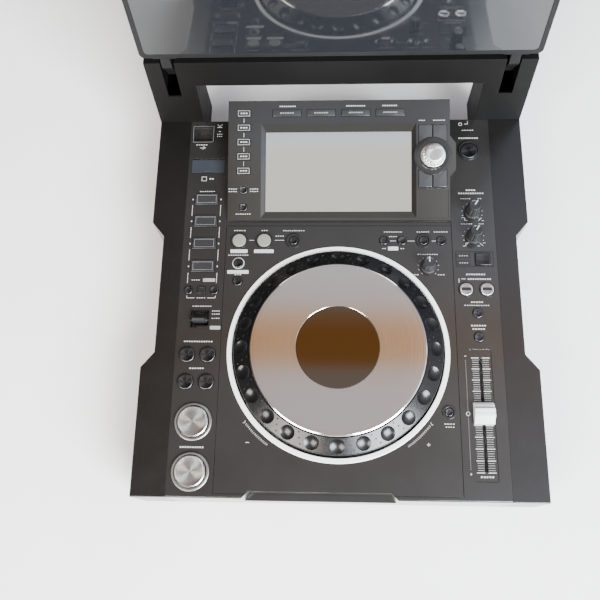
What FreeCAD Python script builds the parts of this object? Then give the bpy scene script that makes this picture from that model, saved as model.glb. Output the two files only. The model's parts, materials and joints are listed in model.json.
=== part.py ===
import FreeCAD, Part
import math
import os

# Tabletop disc player with a jog dial and a fold-down screen.
# Each piece is drawn in deck coordinates: X to the right from the centre line, Y backwards
# from the front face, Z upwards from the top of the deck. All lengths are in millimetres.
# to_row moves a finished piece so that the origin is under the middle of the part, on the table.
# The dial sets the centre panel, the panel sets the display housing, and the housing sets the
# depth of the deck. Keys are placed from the edge of the panel or strip that they sit in.

V = FreeCAD.Vector

# Sheet, plate and gaps
deck_height = 75.0
plate = 2.5
sheet = 2.0
pan_sheet = 2.0
edge_round = 1.6
apron = 2.5
fit_gap = 0.3
bearing_gap = 0.05
press_gap = 0.3
facet_gap = 0.16
least_sides = 16

# Jog dial
jog_ring_radius = 110.0
jog_ring_width = 5.0
jog_ring_height = 1.4
jog_ring_skirt = 6.0
jog_rim_gap = 2.0
jog_rim_width = 16.1
jog_rim_outer_height = 5.2
jog_rim_inner_height = 12.5
jog_rim_wall = 3.0
jog_plate_gap = 0.6
jog_plate_height = 15.0
jog_plate_thick = 3.0
jog_press = 0.5
jog_window_radius = 40.9
jog_window_thick = 1.4
jog_window_lip = 2.6
jog_post_radius = 12.0
jog_hub_wall = 6.0
jog_skirt_depth = 8.5
jog_base_drop = 22.0
jog_base_thick = 2.0
jog_base_radius = 28.8
jog_web_thick = 2.0
jog_shelf_width = 7.0
jog_disc_thick = 3.0
dimple_count = 24
dimple_radius = 7.4
dimple_depth = 1.6
dimple_sides = 12

# Centre panel, around the dial
panel_front = 4.0
jog_side_margin = 7.0
jog_front_margin = 29.0
key_row_gap = 7.0
key_row_margin = 17.0
seam = 0.4
ledge = 4.0
ledge_thick = 2.0
ledge_lap = 2.0
panel_corner = 1.0

# Display housing, behind the panel
housing_gap = 5.0
housing_side_gap = 1.0
housing_front_height = 2.0
housing_rise = 33.0
housing_overhang = 3.0
housing_wall = 2.5
bulge_width = 6.2
bulge_front = 45.4
bulge_rear = 89.2
bulge_slope = 8.0
display_height = 85.6
display_front = 9.1
display_rear_margin = 32.65
display_side = 39.3
bezel_side = 4.4
bezel_front = 6.4
bezel_rear = 8.3
bezel_depth = 1.5
display_thick = 4.0
display_lap = 2.5

# Keys on the display housing
menu_key_inset = 16.5
menu_key_width = 14.2
menu_key_depth = 7.2
menu_key_count = 5
menu_key_pitch = 15.3
round_menu_radius = 4.2
round_menu_places = (14.2, 32.4)
browse_row_margin = 13.45
browse_key_width = 29.8
browse_key_pitch = 36.1
browse_key_count = 4
slope_key_height = 0.8
slope_key_flange = 1.0
nav_width = 29.1
nav_length = 65.4
nav_split = 0.8
selector_inset = 17.9
selector_v = 67.5
selector_collar_radius = 19.9
selector_collar_height = 1.2
selector_base_radius = 13.0
selector_base_height = 2.6
selector_body_radius = 11.2
selector_top_radius = 9.7
selector_sides = 24
selector_height = 16.0
selector_shaft_radius = 3.0
selector_press = 0.8
selector_cap_thick = 3.0
selector_collar_thick = 4.0
inset_width = 32.0
inset_depth = 31.0
inset_front = 2.2
inset_recess = 0.4

# Side strips of the deck and the sheet sides outside them
strip_width = 44.5
left_column_inset = 22.2
right_column_inset = 22.4
wing_width = 34.25
notch_front = 125.0
notch_rear = 281.0
notch_depth = 12.9
notch_slope = 15.5
foot_height = 9.0
foot_radius = 14.0
foot_inset = 34.0
foot_chamfer = 1.5

# Scoop and disc slot in the front face
scoop_centre = -16.6
scoop_width = 147.0
scoop_depth = 6.8
scoop_ramp = 7.0
scoop_drop = 34.0
scoop_wall = 3.0
disc_diameter = 120.0
slot_side_gap = 2.0
slot_height = 5.0
slot_drop = 28.0

# Keys and knobs on the deck
tab_reach = 1.3
tab_width = 5.0
flange_thick = 1.0
small_key_height = 1.5
large_key_height = 2.2
main_key_radius = 14.85
main_key_height = 4.6
main_key_chamfer = 1.0
main_ring_radius = 18.2
main_ring_height = 2.2
main_ring_gap = 0.6
play_y = 24.0
cue_pitch = 47.1
search_pitch = 39.3
search_radius = 7.85
search_spacing = 20.5
track_pitch = 27.4
lever_pitch = 37.4
bank_pitch = 30.3
bank_spacing = 13.2
bank_radius = 4.35
bank_square = 7.6
pad_gap = 26.1
pad_width = 24.5
pad_depth = 12.6
pad_height = 1.6
pad_pitch = 25.3
pad_count = 4
lever_window = 18.6
lever_width = 12.0
lever_length = 13.0
lever_thick = 4.4
lever_chamfer = 1.2
lever_tilt = 14.0
lever_drop = 4.0
lever_barrel_radius = 3.2
lever_barrel_gap = 2.0
lever_pin_radius = 1.5
lever_pin_end = 0.5
cradle_wall = 1.5
cradle_deep = 10.0
knob_base_radius = 8.4
knob_grip_radius = 7.4
knob_top_radius = 5.75
knob_sides = 16
knob_height = 18.0
knob_skirt = 2.0
knob_shaft_radius = 3.0
knob_shaft_drop = 8.0
jog_adjust_height = 13.0
call_radius = 4.75
eject_rear_margin = 38.6
speed_gap = 24.8
speed_pitch = 27.8
master_tempo_gap = 12.4
tempo_range_pitch = 24.8
sync_pitch = 24.6
sync_spacing = 20.7
jog_mode_pitch = 32.5
jog_mode_shift = 7.9
jog_mode_width = 15.1
jog_mode_depth = 13.1
tempo_reset_drop = 60.0
call_inset = 69.6
call_pitch = 18.5

# Tempo fader
fader_y = 81.7
fader_recess_width = 21.5
fader_recess_length = 127.0
fader_recess_depth = 0.8
fader_slot_width = 3.0
fader_travel = 50.0
fader_end_room = 1.0
fader_cap_width = 19.2
fader_cap_length = 20.6
fader_cap_height = 8.0
fader_ridge = 8.6
fader_ridge_height = 10.0
fader_stem_thick = 2.0
fader_stem_length = 6.0
fader_unit_width = 15.0
fader_unit_depth = 16.0
fader_unit_wall = 1.5
fader_unit_end = 4.0

# Sockets on the deck
usb_inset = 14.1
usb_rear_margin = 16.0
usb_width = 20.0
usb_depth = 15.0
usb_drop = 11.0
pocket_wall = 1.2
door_inset = 21.4
door_rear_margin = 54.5
door_width = 35.6
door_depth = 16.2
door_thick = 1.6
door_barrel = 1.3
door_trough_wall = 1.5
card_width = 26.0
card_depth = 9.0
card_drop = 10.0

# Fixed riser behind the deck
riser_depth = 44.0
riser_lean = 8.3
riser_top = 88.0
bar_bottom = 56.0
pillar_width = 48.2
pillar_bottom = -39.0

# Fold-down screen and its hinge
arm_inset = 23.75
arm_width = 10.0
arm_slot_width = 14.0
arm_slot_bottom = 40.0
arm_eye_radius = 8.0
hinge_pin_radius = 3.0
hinge_rib = 2.0
hinge_inset = 19.0
pivot_drop = 26.0
arm_flange = 2.0
arm_flange_width = 24.0
sweep_gap = 1.8
fold_gap = 2.6
screen_height = 212.0
screen_thick = 24.0
screen_corner = 6.0
screen_module_side = 42.0
screen_module_end = 17.0
screen_module_thick = 8.0
screen_glass_margin = 5.0
screen_glass_thick = 2.5
screen_wall = 3.0

# Pieces inside
drive_width = 150.0
drive_depth = 196.0
drive_height = 26.0
bay_end = 8.0
stand_size = 16.0
board_thick = 1.6
board_standoff = 4.0
board_supply_gap = 15.0
board_side_gap = 8.0
board_front_gap = 4.4
board_rear_gap = 30.0
boss_radius = 3.5
boss_inset = 8.0
chip_size = 30.0
chip_height = 2.0
header_length = 34.0
header_width = 12.0
header_height = 6.0
supply_width = 84.0
supply_depth = 100.0
supply_height = 30.0
supply_side_gap = 2.0
vent_pitch = 9.0
vent_width = 4.0
vent_count = 8

# Sockets and switch on the rear wall
rear_row = -38.0
inlet_x = 118.0
inlet_width = 27.0
inlet_height = 20.0
inlet_recess = 13.0
power_x = 78.0
power_size = 12.0
power_proud = 4.0
power_flange = 1.5
jack_radius = 4.2
jack_length = 9.0
jack_spacing = 19.0
jack_x = -60.0
jack_collar_radius = 6.5
jack_collar_thick = 1.6
jack_wall = 1.4
lan_x = 24.0
lan_width = 16.0
lan_height = 13.5
lan_recess = 12.0
socket_wall = 1.5
socket_proud = 0.8
port_x = -10.0
port_size = 12.0

# The dial, and the panel around it
jog_rim_radius = jog_ring_radius - jog_ring_width - jog_rim_gap
jog_plate_radius = jog_rim_radius - jog_rim_width - jog_plate_gap
half_panel = jog_ring_radius + jog_side_margin
jog_y = panel_front + jog_front_margin + jog_ring_radius
key_row = jog_y + jog_ring_radius + key_row_gap
panel_rear = key_row + key_row_margin

# The display housing, in its own slope coordinate
half_housing = half_panel - housing_side_gap
slope_length = display_front + display_height + display_rear_margin
housing_depth = math.sqrt(slope_length ** 2 - housing_rise ** 2)
housing_front = panel_rear + housing_gap
housing_rear = housing_front + housing_depth
housing_rear_height = housing_front_height + housing_rise
housing_tilt = math.degrees(math.atan2(housing_rise, housing_depth))
display_width = 2 * (half_housing - display_side)
display_rear = display_front + display_height
menu_key_x = -half_housing + menu_key_inset
browse_row = slope_length - browse_row_margin
selector_x = half_housing - selector_inset

# The deck and the sheet sides
body_depth = housing_rear - housing_overhang
half_body = half_panel + strip_width
half_width = half_body + wing_width
base_z = foot_height - deck_height
left_column = -half_body + left_column_inset
right_column = half_body - right_column_inset
cue_y = play_y + cue_pitch
search_y = cue_y + search_pitch
track_y = search_y + track_pitch
lever_y = track_y + lever_pitch
bank_y = lever_y + bank_pitch
pad_first = bank_y + pad_gap
usb_x = -half_body + usb_inset
usb_y = body_depth - usb_rear_margin
door_x = -half_body + door_inset
door_y = body_depth - door_rear_margin
eject_y = body_depth - eject_rear_margin
fader_slot_length = 2 * (fader_travel + fader_end_room) + fader_stem_length
master_tempo_y = fader_y + fader_recess_length / 2 + master_tempo_gap
tempo_range_y = master_tempo_y + tempo_range_pitch
sync_y = tempo_range_y + sync_pitch
jog_mode_y = sync_y + jog_mode_pitch
release_speed_y = jog_mode_y + speed_gap
touch_speed_y = release_speed_y + speed_pitch

# The riser and the screen
arm_x = half_width - arm_inset
pillar_inner = half_width - pillar_width
riser_back = body_depth + riser_depth
tilt = math.radians(housing_tilt)
selector_rise = selector_v * math.sin(tilt) + selector_height * math.cos(tilt)
selector_top = housing_front_height + selector_rise + selector_top_radius * math.sin(tilt)
pivot_z = riser_top - pivot_drop
lean = math.radians(riser_lean)


def riser_face(z):
    """Y of the riser's leaning front face at height z."""
    return body_depth + max(z, 0.0) * math.tan(lean)


pivot_y = riser_face(pivot_z) + hinge_inset
screen_face = pivot_z - selector_top - fold_gap
corner_reach = math.hypot(pivot_y - riser_face(riser_top), riser_top - pivot_z)
arm_reach = corner_reach + sweep_gap + arm_flange
screen_back = screen_face - screen_thick
screen_top = arm_reach + screen_height
rear_end = pivot_y + screen_top * math.sin(lean) - screen_back * math.cos(lean)
mid_y = rear_end / 2


def box(x0, x1, y0, y1, z0, z1):
    """A block between two corners."""
    return Part.makeBox(x1 - x0, y1 - y0, z1 - z0, V(x0, y0, z0))


def sides_for(radius, gap=facet_gap):
    """How many sides keep a round piece within a gap of the true circle."""
    return max(least_sides, 4 * math.ceil(math.pi / (4 * math.acos(1 - gap / radius))))


def outline_of(corners):
    """A closed outline through corners."""
    return Part.makePolygon(corners + corners[:1])


def ring_of_corners(centre, direction, radius, sides):
    """The corners of a regular outline around a point, square to a direction."""
    turn = FreeCAD.Rotation(V(0, 0, 1), direction)
    corners = []
    for i in range(sides):
        angle = 2 * math.pi * i / sides
        corners.append(centre + turn.multVec(V(radius * math.cos(angle), radius * math.sin(angle), 0)))
    return corners


def bar(start, end, radius):
    """A round bar between two points, many-sided so that the packed mesh stays light."""
    along = end - start
    corners = ring_of_corners(start, along, radius, sides_for(radius))
    return Part.Face(outline_of(corners)).extrude(along)


def rod(x, y, z0, z1, radius):
    """An upright round bar."""
    return bar(V(x, y, z0), V(x, y, z1), radius)


def grip(x, y, rings, sides):
    """An upright piece with flat sides, through rings of (radius, z) from the lowest up."""
    up = V(0, 0, 1)
    levels = [ring_of_corners(V(x, y, z), up, radius, sides) for radius, z in rings]
    faces = [Part.Face(outline_of(levels[0])), Part.Face(outline_of(levels[-1]))]
    for low, high in zip(levels, levels[1:]):
        for i in range(sides):
            j = (i + 1) % sides
            faces.append(Part.Face(outline_of([low[i], low[j], high[j], high[i]])))
    shell = Part.makeShell(faces)
    shell.sewShape()
    solid = Part.makeSolid(shell)
    return solid if solid.Volume > 0 else solid.reversed()


def prism(points, z0, z1):
    """An upright prism on a closed outline of (x, y) points."""
    corners = [V(x, y, z0) for x, y in points]
    return Part.Face(outline_of(corners)).extrude(V(0, 0, z1 - z0))


def side_prism(points, x0, x1):
    """A prism across the part on a closed outline of (y, z) points."""
    corners = [V(x0, y, z) for y, z in points]
    return Part.Face(outline_of(corners)).extrude(V(x1 - x0, 0, 0))


def rounded_block(x0, x1, y0, y1, z0, z1, radius):
    """A block with its four upright edges rounded."""
    block = box(x0, x1, y0, y1, z0, z1)
    upright = [e for e in block.Edges if abs(e.tangentAt(e.FirstParameter).z) > 0.9]
    return block.makeFillet(radius, upright)


def joined(pieces):
    """One solid out of several that touch or overlap."""
    whole = pieces[0].multiFuse(pieces[1:]) if len(pieces) > 1 else pieces[0]
    return whole.removeSplitter()


def without(piece, tools):
    """The piece with every tool cut out of it."""
    return piece.cut(Part.makeCompound(tools))


def mirrored(piece):
    """The same piece on the other side of the centre line."""
    return piece.mirror(V(0, 0, 0), V(1, 0, 0))


def on_slope(piece):
    """Moves a piece drawn as (x, distance up the slope, height above it) onto the display housing."""
    turn = FreeCAD.Rotation(V(1, 0, 0), housing_tilt)
    spot = FreeCAD.Placement(V(0, housing_front, housing_front_height), turn)
    moved = piece.copy()
    moved.Placement = spot.multiply(moved.Placement)
    return moved


def on_screen(piece):
    """Moves a piece drawn as (x, distance above the hinge pin, distance in front) onto the open screen."""
    spot = FreeCAD.Placement(V(0, pivot_y, pivot_z), FreeCAD.Rotation(V(1, 0, 0), 90 - riser_lean))
    moved = piece.copy()
    moved.Placement = spot.multiply(moved.Placement)
    return moved


# Round keys, each as (x, y, radius, height).
inner_left = -half_panel + 14.4
round_keys = {
    "loop_in_key": (inner_left, key_row, 7.05, large_key_height),
    "loop_out_key": (inner_left + 26.0, key_row, 7.05, large_key_height),
    "reloop_key": (inner_left + 56.5, key_row, 4.5, small_key_height),
    "beat_key": (inner_left, key_row - 24.9, 5.05, small_key_height),
    "slip_key": (inner_left, key_row - 44.5, 5.0, small_key_height),
    "delete_key": (half_panel - 29.1, key_row, 4.75, small_key_height),
    "memory_key": (half_panel - 10.9, key_row, 4.9, small_key_height),
    "tempo_reset_key": (half_panel - 10.5, jog_y - tempo_reset_drop, 4.05, small_key_height),
    "track_back_key": (left_column - search_spacing / 2, track_y, search_radius, large_key_height),
    "track_forward_key": (left_column + search_spacing / 2, track_y, search_radius, large_key_height),
    "search_back_key": (left_column - search_spacing / 2, search_y, search_radius, large_key_height),
    "search_forward_key": (left_column + search_spacing / 2, search_y, search_radius, large_key_height),
    "eject_key": (right_column, eject_y, 9.0, large_key_height),
    "sync_key": (right_column - sync_spacing / 2, sync_y, 6.7, large_key_height),
    "master_key": (right_column + sync_spacing / 2, sync_y, 6.7, large_key_height),
    "tempo_range_key": (right_column, tempo_range_y, 5.1, small_key_height),
    "master_tempo_key": (right_column, master_tempo_y, 5.0, small_key_height),
}
call_left = half_panel - call_inset
call_places = ((call_left, key_row), (call_left + call_pitch, key_row))
jog_mode_x = right_column + jog_mode_shift
jog_mode_place = (jog_mode_x, jog_mode_y, jog_mode_width, jog_mode_depth, small_key_height)
jog_adjust_place = (half_panel - 25.1, key_row - 28.3)
speed_places = {
    "touch_speed_knob": (right_column, touch_speed_y),
    "release_speed_knob": (right_column, release_speed_y),
}


def key_tabs(x, y, radius):
    """The bar across the foot of a round key, whose ends keep it under the deck plate."""
    under = -plate - press_gap
    reach = radius + tab_reach
    return box(x - reach, x + reach, y - tab_width / 2, y + tab_width / 2, under - flange_thick, under)


def round_key(x, y, radius, height):
    """A round cap with a bar across its foot that keeps it under the deck plate."""
    return joined([rod(x, y, -plate - press_gap, height, radius), key_tabs(x, y, radius)])


def square_key(x, y, width, depth, height):
    """A square cap with a flange under the deck plate."""
    under = -plate - press_gap
    cap = box(x - width / 2, x + width / 2, y - depth / 2, y + depth / 2, under, height)
    half_w = width / 2 + tab_reach
    half_d = depth / 2 + tab_reach
    flange = box(x - half_w, x + half_w, y - half_d, y + half_d, under - flange_thick, under)
    return joined([cap, flange])


def round_hole(x, y, radius, low=-20.0):
    """The tool for a round hole with running room."""
    return rod(x, y, low, 5.0, radius + fit_gap)


def square_hole(x, y, width, depth):
    """The tool for a square hole with running room."""
    half_w = width / 2 + fit_gap
    half_d = depth / 2 + fit_gap
    return box(x - half_w, x + half_w, y - half_d, y + half_d, -20.0, 5.0)


def pad_centre(i):
    """Y of cue pad i, counted from the front."""
    return pad_first + i * pad_pitch


def key_holes():
    """Every hole that the keys and knobs need in the deck."""
    tools = [round_hole(x, y, radius) for x, y, radius, _height in round_keys.values()]
    for x, y in call_places:
        tools.append(round_hole(x, y, call_radius))
    for x, y in list(speed_places.values()) + [jog_adjust_place]:
        tools.append(round_hole(x, y, knob_shaft_radius))
    for y in (cue_y, play_y):
        tools.append(round_hole(left_column, y, main_key_radius))
    for i in range(pad_count):
        tools.append(square_hole(left_column, pad_centre(i), pad_width, pad_depth))
    for side in (-1, 1):
        tools.append(round_hole(left_column + side * bank_spacing, bank_y, bank_radius))
    tools.append(square_hole(left_column, bank_y, bank_square, bank_square))
    tools.append(square_hole(*jog_mode_place[:4]))
    half = lever_window / 2
    tools.append(box(left_column - half, left_column + half, lever_y - half, lever_y + half, -20.0, 5.0))
    return tools


def scoop_tool():
    """The finger scoop in front of the disc slot, with a sloping ramp at each end."""
    half = scoop_width / 2
    outline = [
        (scoop_centre - half, -1.0),
        (scoop_centre - half, 0.0),
        (scoop_centre - half + scoop_ramp, scoop_depth),
        (scoop_centre + half - scoop_ramp, scoop_depth),
        (scoop_centre + half, 0.0),
        (scoop_centre + half, -1.0),
    ]
    return prism(outline, -scoop_drop, 5.0)


def slot_tool(y0, y1):
    """The flat way that a disc slides through."""
    half = disc_diameter / 2 + slot_side_gap
    return box(
        scoop_centre - half,
        scoop_centre + half,
        y0,
        y1,
        -slot_drop - slot_height / 2,
        -slot_drop + slot_height / 2,
    )


def pocket(x, y, width, depth, drop):
    """A cup under the deck plate, with its floor."""
    half_w = width / 2
    half_d = depth / 2
    outer = box(
        x - half_w - pocket_wall,
        x + half_w + pocket_wall,
        y - half_d - pocket_wall,
        y + half_d + pocket_wall,
        -drop - pocket_wall,
        -plate / 2,
    )
    inner = box(x - half_w, x + half_w, y - half_d, y + half_d, -drop, 5.0)
    return outer, inner


def top_cover():
    """Deck plate with the front face, the ledge for the centre panel and every opening."""
    block = box(-half_body, half_body, 0, body_depth, base_z, 0)
    front_edge = [
        e for e in block.Edges
        if abs(e.CenterOfMass.y) < 0.01 and abs(e.CenterOfMass.z) < 0.01
    ]
    block = block.makeFillet(edge_round, front_edge)
    inside = box(-half_body - 1, half_body + 1, apron, body_depth + 1, base_z - 1, -plate)
    shell = block.cut(inside)
    frame = box(
        -half_panel - ledge_lap,
        half_panel + ledge_lap,
        apron / 2,
        panel_rear + ledge_lap,
        -plate - ledge_thick,
        -plate,
    )
    half_scoop = scoop_width / 2 + scoop_wall
    scoop_block = box(
        scoop_centre - half_scoop,
        scoop_centre + half_scoop,
        apron / 2,
        scoop_depth + apron,
        -scoop_drop - apron,
        -plate,
    )
    usb_outer, usb_inner = pocket(usb_x, usb_y, usb_width, usb_depth, usb_drop)
    card_outer, card_inner = pocket(door_x, door_y, card_width, card_depth, card_drop)
    rings = [main_ring(y) for y in (cue_y, play_y)]
    cover = joined([shell, frame, scoop_block, usb_outer, card_outer] + rings)
    panel_hole = box(-half_panel, half_panel, panel_front, panel_rear, -plate, 5.0)
    under_hole = box(
        -half_panel + ledge, half_panel - ledge, scoop_depth + apron, panel_rear - ledge, -30.0, 5.0
    )
    channel = box(-half_panel, half_panel, panel_rear - 1, housing_front, -plate / 2, 5.0)
    housing_hole = box(
        -half_housing + 2 * housing_wall,
        half_housing - 2 * housing_wall,
        housing_front + housing_wall + 1.5,
        body_depth - pan_sheet - 2.0,
        -30.0,
        5.0,
    )
    door_hole = box(
        door_x - door_width / 2 - fit_gap,
        door_x + door_width / 2 + fit_gap,
        door_y - door_depth / 2 - fit_gap,
        door_y + door_depth / 2 + fit_gap,
        -door_thick - fit_gap,
        5.0,
    )
    trough = box(
        door_x - door_width / 2 - fit_gap,
        door_x + door_width / 2 + fit_gap,
        door_y + door_depth / 2 - 2 * door_barrel - fit_gap,
        door_y + door_depth / 2 + fit_gap,
        -2 * door_barrel - fit_gap,
        5.0,
    )
    trough_floor = box(
        door_x - door_width / 2 - door_trough_wall,
        door_x + door_width / 2 + door_trough_wall,
        door_y + door_depth / 2 - 2 * door_barrel - door_trough_wall,
        door_y + door_depth / 2 + door_trough_wall,
        -2 * door_barrel - door_trough_wall,
        -plate,
    )
    cover = joined([cover, trough_floor])
    fader_recess = rounded_block(
        right_column - fader_recess_width / 2,
        right_column + fader_recess_width / 2,
        fader_y - fader_recess_length / 2,
        fader_y + fader_recess_length / 2,
        -fader_recess_depth,
        5.0,
        1.5,
    )
    fader_slot = box(
        right_column - fader_slot_width / 2,
        right_column + fader_slot_width / 2,
        fader_y - fader_slot_length / 2,
        fader_y + fader_slot_length / 2,
        -30.0,
        5.0,
    )
    tools = [panel_hole, under_hole, channel, housing_hole, door_hole, trough, fader_recess, fader_slot]
    tools += [usb_inner, card_inner, scoop_tool(), slot_tool(0, scoop_depth + apron + 1)]
    return without(cover, tools + key_holes())


def main_ring(y):
    """The raised ring around a large round key."""
    outline = [
        (main_ring_radius, -plate / 2),
        (main_ring_radius, main_ring_height - 0.6),
        (main_ring_radius - 0.6, main_ring_height),
    ]
    ring = grip(left_column, y, outline, sides_for(main_ring_radius))
    return ring.cut(rod(left_column, y, -plate, main_ring_height + 1, main_key_radius + main_ring_gap))


def centre_panel():
    """The panel around the jog dial, lying in the deck on its ledge."""
    piece = rounded_block(
        -half_panel + seam, half_panel - seam, panel_front + seam, panel_rear - seam, -plate, 0, panel_corner
    )
    dial_hole = rod(0, jog_y, -10.0, 5.0, jog_ring_radius - jog_ring_width / 2 + fit_gap)
    return without(piece, [dial_hole, scoop_tool()] + key_holes())


def base_pan():
    """The sheet pan that carries the works, with standoffs for the board and holes at the rear."""
    outer = box(-half_body, half_body, apron, body_depth, base_z, -plate)
    inner = box(
        -half_body + pan_sheet,
        half_body - pan_sheet,
        apron + pan_sheet,
        body_depth - pan_sheet,
        base_z + pan_sheet,
        0.0,
    )
    pan = outer.cut(inner)
    drive_top = -jog_base_drop
    stand = []
    for side in (-1, 1):
        for y in (drive_front() + stand_size, drive_front() + drive_depth - stand_size):
            x = scoop_centre + side * (drive_width / 2 - stand_size)
            half = stand_size / 2
            low = base_z + pan_sheet / 2
            stand.append(box(x - half, x + half, y - half, y + half, low, drive_top - drive_height))
    bosses = [
        rod(x, y, base_z + pan_sheet / 2, board_bottom(), boss_radius)
        for x in (board_x0() + boss_inset, board_x1() - boss_inset)
        for y in (board_y0() + boss_inset, board_y1() - boss_inset)
    ]
    pan = joined([pan] + stand + bosses)
    y0 = body_depth - pan_sheet - 1
    y1 = body_depth + 1
    power_hole = power_size + 2 * fit_gap
    wall_holes = [
        rear_box(inlet_x, inlet_width, inlet_height, y0, y1),
        rear_box(lan_x, lan_width, lan_height, y0, y1),
        rear_box(port_x, port_size, port_size, y0, y1),
        rear_box(power_x, power_hole, power_hole, y0, y1),
    ]
    front_window = box(
        scoop_centre - scoop_width / 2 - scoop_wall - 1,
        scoop_centre + scoop_width / 2 + scoop_wall + 1,
        0,
        apron + pan_sheet + 1,
        -scoop_drop - apron - 1,
        0,
    )
    ledge_room = box(
        -half_panel - ledge_lap - fit_gap,
        half_panel + ledge_lap + fit_gap,
        0,
        apron + pan_sheet + 1,
        -plate - ledge_thick - fit_gap,
        0,
    )
    return without(pan, wall_holes + [front_window, ledge_room])


def rear_box(x, width, height, y0, y1):
    """A block centred on the row of sockets in the rear wall."""
    return box(x - width / 2, x + width / 2, y0, y1, rear_row - height / 2, rear_row + height / 2)


def drive_front():
    """Y of the drive's front face, just behind the scoop wall."""
    return scoop_depth + apron + fit_gap


def board_bottom():
    """Z of the board's underside."""
    return base_z + pan_sheet + board_standoff


def board_x0():
    """X of the board's left edge."""
    return -half_body + pan_sheet + board_side_gap


def supply_x1():
    """X of the power supply's right side, just inside the wall."""
    return half_body - pan_sheet - supply_side_gap


def board_x1():
    """X of the board's right edge, clear of the power supply."""
    return supply_x1() - supply_width - board_supply_gap


def board_y0():
    """Y of the board's front edge, behind the drive."""
    return drive_front() + drive_depth + board_front_gap


def board_y1():
    """Y of the board's rear edge, clear of the sockets."""
    return body_depth - pan_sheet - board_rear_gap


def wing_outline(inner):
    """Outline of the right-hand sheet side, with its hand notch. inner is the X of its inner edge."""
    return [
        (inner, 0.0),
        (half_width, 0.0),
        (half_width, notch_front),
        (half_width - notch_depth, notch_front + notch_slope),
        (half_width - notch_depth, notch_rear - notch_slope),
        (half_width, notch_rear),
        (half_width, body_depth),
        (inner, body_depth),
    ]


def side_frame():
    """The bent sheet side on the right: a deck strip with walls all round, open underneath."""
    points = wing_outline(half_body)
    block = prism(points, base_z, 0)
    wire = Part.makePolygon([V(x, y, base_z - 1) for x, y in points + points[:1]])
    inner_face = Part.Face(wire).makeOffset2D(-sheet)
    hollow = inner_face.extrude(V(0, 0, -base_z + 1 - sheet))
    top_outer = [
        e for e in block.Edges
        if abs(e.CenterOfMass.z) < 0.01
        and e.CenterOfMass.x > half_body + 1
        and e.CenterOfMass.y < body_depth - 1
    ]
    return block.makeFillet(edge_round / 2, top_outer).cut(hollow)


def riser_shape(inset):
    """The upside-down U of the riser, or with an inset the space inside its sheet."""
    front = body_depth + inset
    top = riser_top - inset
    back = riser_back - inset
    low = pillar_bottom + inset
    bend = inset * math.tan(lean / 2)
    side = [
        (front, low),
        (front, -bend),
        (riser_face(top) + inset / math.cos(lean), top),
        (back, top),
        (back, low),
    ]
    whole = side_prism(side, -half_width + inset, half_width - inset)
    gap = box(
        -pillar_inner - inset,
        pillar_inner + inset,
        body_depth - 10,
        riser_back + 10,
        pillar_bottom - 10,
        bar_bottom + inset,
    )
    return whole.cut(gap)


def hinge_rib_piece(x):
    """A rib inside a pillar, that carries one end of the hinge pin."""
    points = [
        (riser_face(pivot_z - 12) + sheet / 2, pivot_z - 12),
        (riser_face(riser_top) + sheet / 2, riser_top - sheet / 2),
        (pivot_y + arm_eye_radius + 3, riser_top - sheet / 2),
        (pivot_y + arm_eye_radius + 3, pivot_z - 12),
    ]
    return side_prism(points, x, x + hinge_rib)


def riser():
    """The fixed frame behind the deck: two pillars and a crossbar in folded sheet."""
    shell = riser_shape(0.0).cut(riser_shape(sheet))
    skirt = [
        box(
            side * half_width if side < 0 else half_width - sheet,
            side * half_width + sheet if side < 0 else half_width,
            body_depth,
            riser_back,
            base_z,
            pillar_bottom + sheet / 2,
        )
        for side in (-1, 1)
    ]
    slot_edge = arm_slot_width / 2
    ribs = []
    tools = []
    for side in (-1, 1):
        centre = side * arm_x
        ribs.append(hinge_rib_piece(centre - slot_edge - hinge_rib))
        ribs.append(hinge_rib_piece(centre + slot_edge))
        tools.append(
            box(
                centre - slot_edge,
                centre + slot_edge,
                body_depth - 5,
                pivot_y + arm_eye_radius + 5,
                arm_slot_bottom,
                riser_top + 5,
            )
        )
        tools.append(
            Part.makeCylinder(
                hinge_pin_radius + bearing_gap,
                arm_slot_width + 4 * hinge_rib,
                V(centre - slot_edge - 2 * hinge_rib, pivot_y, pivot_z),
                V(1, 0, 0),
            )
        )
    frame = joined([shell] + skirt + ribs)
    return without(frame, tools)


def housing_block(inset, bottom):
    """The wedge of the display housing, or with an inset the space inside it."""
    half = half_housing - inset
    to_plan = math.cos(math.radians(housing_tilt))
    bulge_y0 = housing_front + bulge_front * to_plan
    bulge_y1 = housing_front + bulge_rear * to_plan
    plan = [
        (-half, housing_front + inset),
        (half, housing_front + inset),
        (half, bulge_y0),
        (half + bulge_width, bulge_y0 + bulge_slope),
        (half + bulge_width, bulge_y1 - bulge_slope),
        (half, bulge_y1),
        (half, housing_rear - inset),
        (-half, housing_rear - inset),
    ]
    upright = prism(plan, bottom, housing_rear_height + 5)
    drop = inset / to_plan
    rise = math.tan(math.radians(housing_tilt))
    under = [
        (housing_front - 20, bottom - 1),
        (housing_front - 20, housing_front_height - 20 * rise - drop),
        (housing_rear + 20, housing_rear_height + 20 * rise - drop),
        (housing_rear + 20, bottom - 1),
    ]
    return upright.common(side_prism(under, -half_housing - 30, half_housing + 30))


def menu_rows():
    """Distances up the slope of the keys left of the display."""
    return [browse_row - i * menu_key_pitch for i in range(menu_key_count)]


def browse_places():
    """X of each key above the display."""
    return [(i - (browse_key_count - 1) / 2) * browse_key_pitch for i in range(browse_key_count)]


def slope_box(x, v, width, depth, w0, w1):
    """A block centred on a place on the slope."""
    return box(x - width / 2, x + width / 2, v - depth / 2, v + depth / 2, w0, w1)


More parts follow.
